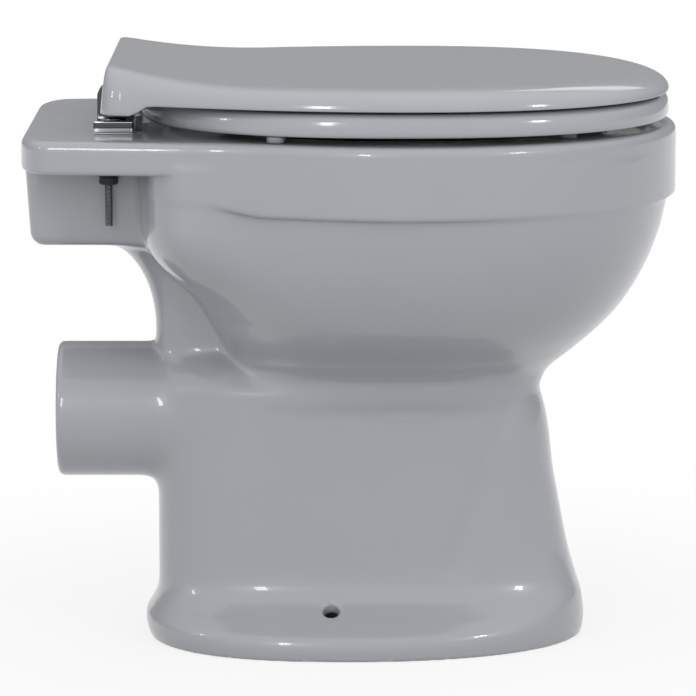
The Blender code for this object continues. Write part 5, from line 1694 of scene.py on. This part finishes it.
def model_stage(scene):
    """The floor, the surround, the lamps, the dome and the camera."""
    sizes = scene.toilet_stage
    line = circle((0.0, 0.0), sizes.floor_radius, FLOOR_CORNERS)
    floor = piece_from("floor", [(x, y, 0.0) for x, y in line], [range(FLOOR_CORNERS)])
    floor.data.materials.append(floor_finish(scene.toilet_colours, sizes))
    scene.world = WorldLight("Studio", sizes.surround).material
    for energy, (name, place, size) in LAMPS.items():
        lamp(name, place, size, getattr(sizes, energy))
    model_dome(sizes)
    camera = bpy.data.cameras.new("Camera")
    camera.sensor_width = 36.0
    camera.lens = sizes.lens
    camera.clip_end = 50.0
    item = in_scene("Camera", camera)
    item.location = (sizes.aim_x, -sizes.camera_distance, sizes.camera_height)
    item.rotation_euler = facing(item.location, (sizes.aim_x, 0.0, sizes.aim_height))
    scene.camera = item
    scene.view_settings.view_transform = "Standard"


# The add-on's buttons


class ToiletMakePan(bpy.types.Operator):
    """Make the ceramic pan"""

    bl_idname = "toilet.make_pan"
    bl_label = "Pan"

    def execute(self, context):
        model_pan(context.scene)
        return {"FINISHED"}


class ToiletMakeSeat(bpy.types.Operator):
    """Make the seat ring"""

    bl_idname = "toilet.make_seat"
    bl_label = "Seat"

    def execute(self, context):
        model_seat(context.scene)
        return {"FINISHED"}


class ToiletMakeLid(bpy.types.Operator):
    """Make the lid"""

    bl_idname = "toilet.make_lid"
    bl_label = "Lid"

    def execute(self, context):
        model_lid(context.scene)
        return {"FINISHED"}


class ToiletMakeHinges(bpy.types.Operator):
    """Make the two hinges"""

    bl_idname = "toilet.make_hinges"
    bl_label = "Hinges"

    def execute(self, context):
        model_hinges(context.scene)
        return {"FINISHED"}


class ToiletMakeFixings(bpy.types.Operator):
    """Make the two seat fixings"""

    bl_idname = "toilet.make_fixings"
    bl_label = "Fixings"

    def execute(self, context):
        model_fixings(context.scene)
        return {"FINISHED"}


class ToiletMakeBuffers(bpy.types.Operator):
    """Make the buffers under the seat and the lid"""

    bl_idname = "toilet.make_buffers"
    bl_label = "Buffers"

    def execute(self, context):
        model_buffers(context.scene)
        return {"FINISHED"}


class ToiletMakeStage(bpy.types.Operator):
    """Make the floor, the lamps and the camera"""

    bl_idname = "toilet.make_stage"
    bl_label = "Stage"

    def execute(self, context):
        model_stage(context.scene)
        return {"FINISHED"}


MAKERS = (
    ToiletMakePan, ToiletMakeSeat, ToiletMakeLid, ToiletMakeHinges, ToiletMakeFixings, ToiletMakeBuffers,
    ToiletMakeStage,
)
GROUPS = {
    "toilet_pan": ToiletPanSizes,
    "toilet_seat": ToiletSeatSizes,
    "toilet_fittings": ToiletFittingSizes,
    "toilet_colours": ToiletColours,
    "toilet_stage": ToiletStageSizes,
}


class ToiletPanel(bpy.types.Panel):
    """The buttons and values of the toilet"""

    bl_idname = "VIEW3D_PT_toilet"
    bl_label = "Toilet"
    bl_space_type = "VIEW_3D"
    bl_region_type = "UI"
    bl_category = "Toilet"

    def draw(self, context):
        for maker in MAKERS:
            self.layout.operator(maker.bl_idname)
        for name, group in GROUPS.items():
            box = self.layout.box()
            box.label(text=name.split("_")[1].capitalize())
            for value in group.__annotations__:
                box.prop(getattr(context.scene, name), value)


def register():
    """Register the values, the buttons and the panel."""
    for group in GROUPS.values():
        bpy.utils.register_class(group)
    for maker in MAKERS:
        bpy.utils.register_class(maker)
    bpy.utils.register_class(ToiletPanel)
    for name, group in GROUPS.items():
        setattr(bpy.types.Scene, name, PointerProperty(type=group))


def unregister():
    """Undo register."""
    for name in GROUPS:
        delattr(bpy.types.Scene, name)
    bpy.utils.unregister_class(ToiletPanel)
    for item in (*reversed(MAKERS), *reversed(GROUPS.values())):
        bpy.utils.unregister_class(item)


def main():
    """Make every piece."""
    register()
    for maker in MAKERS:
        group, name = maker.bl_idname.split(".")
        getattr(getattr(bpy.ops, group), name)()


if __name__ == "__main__":
    main()
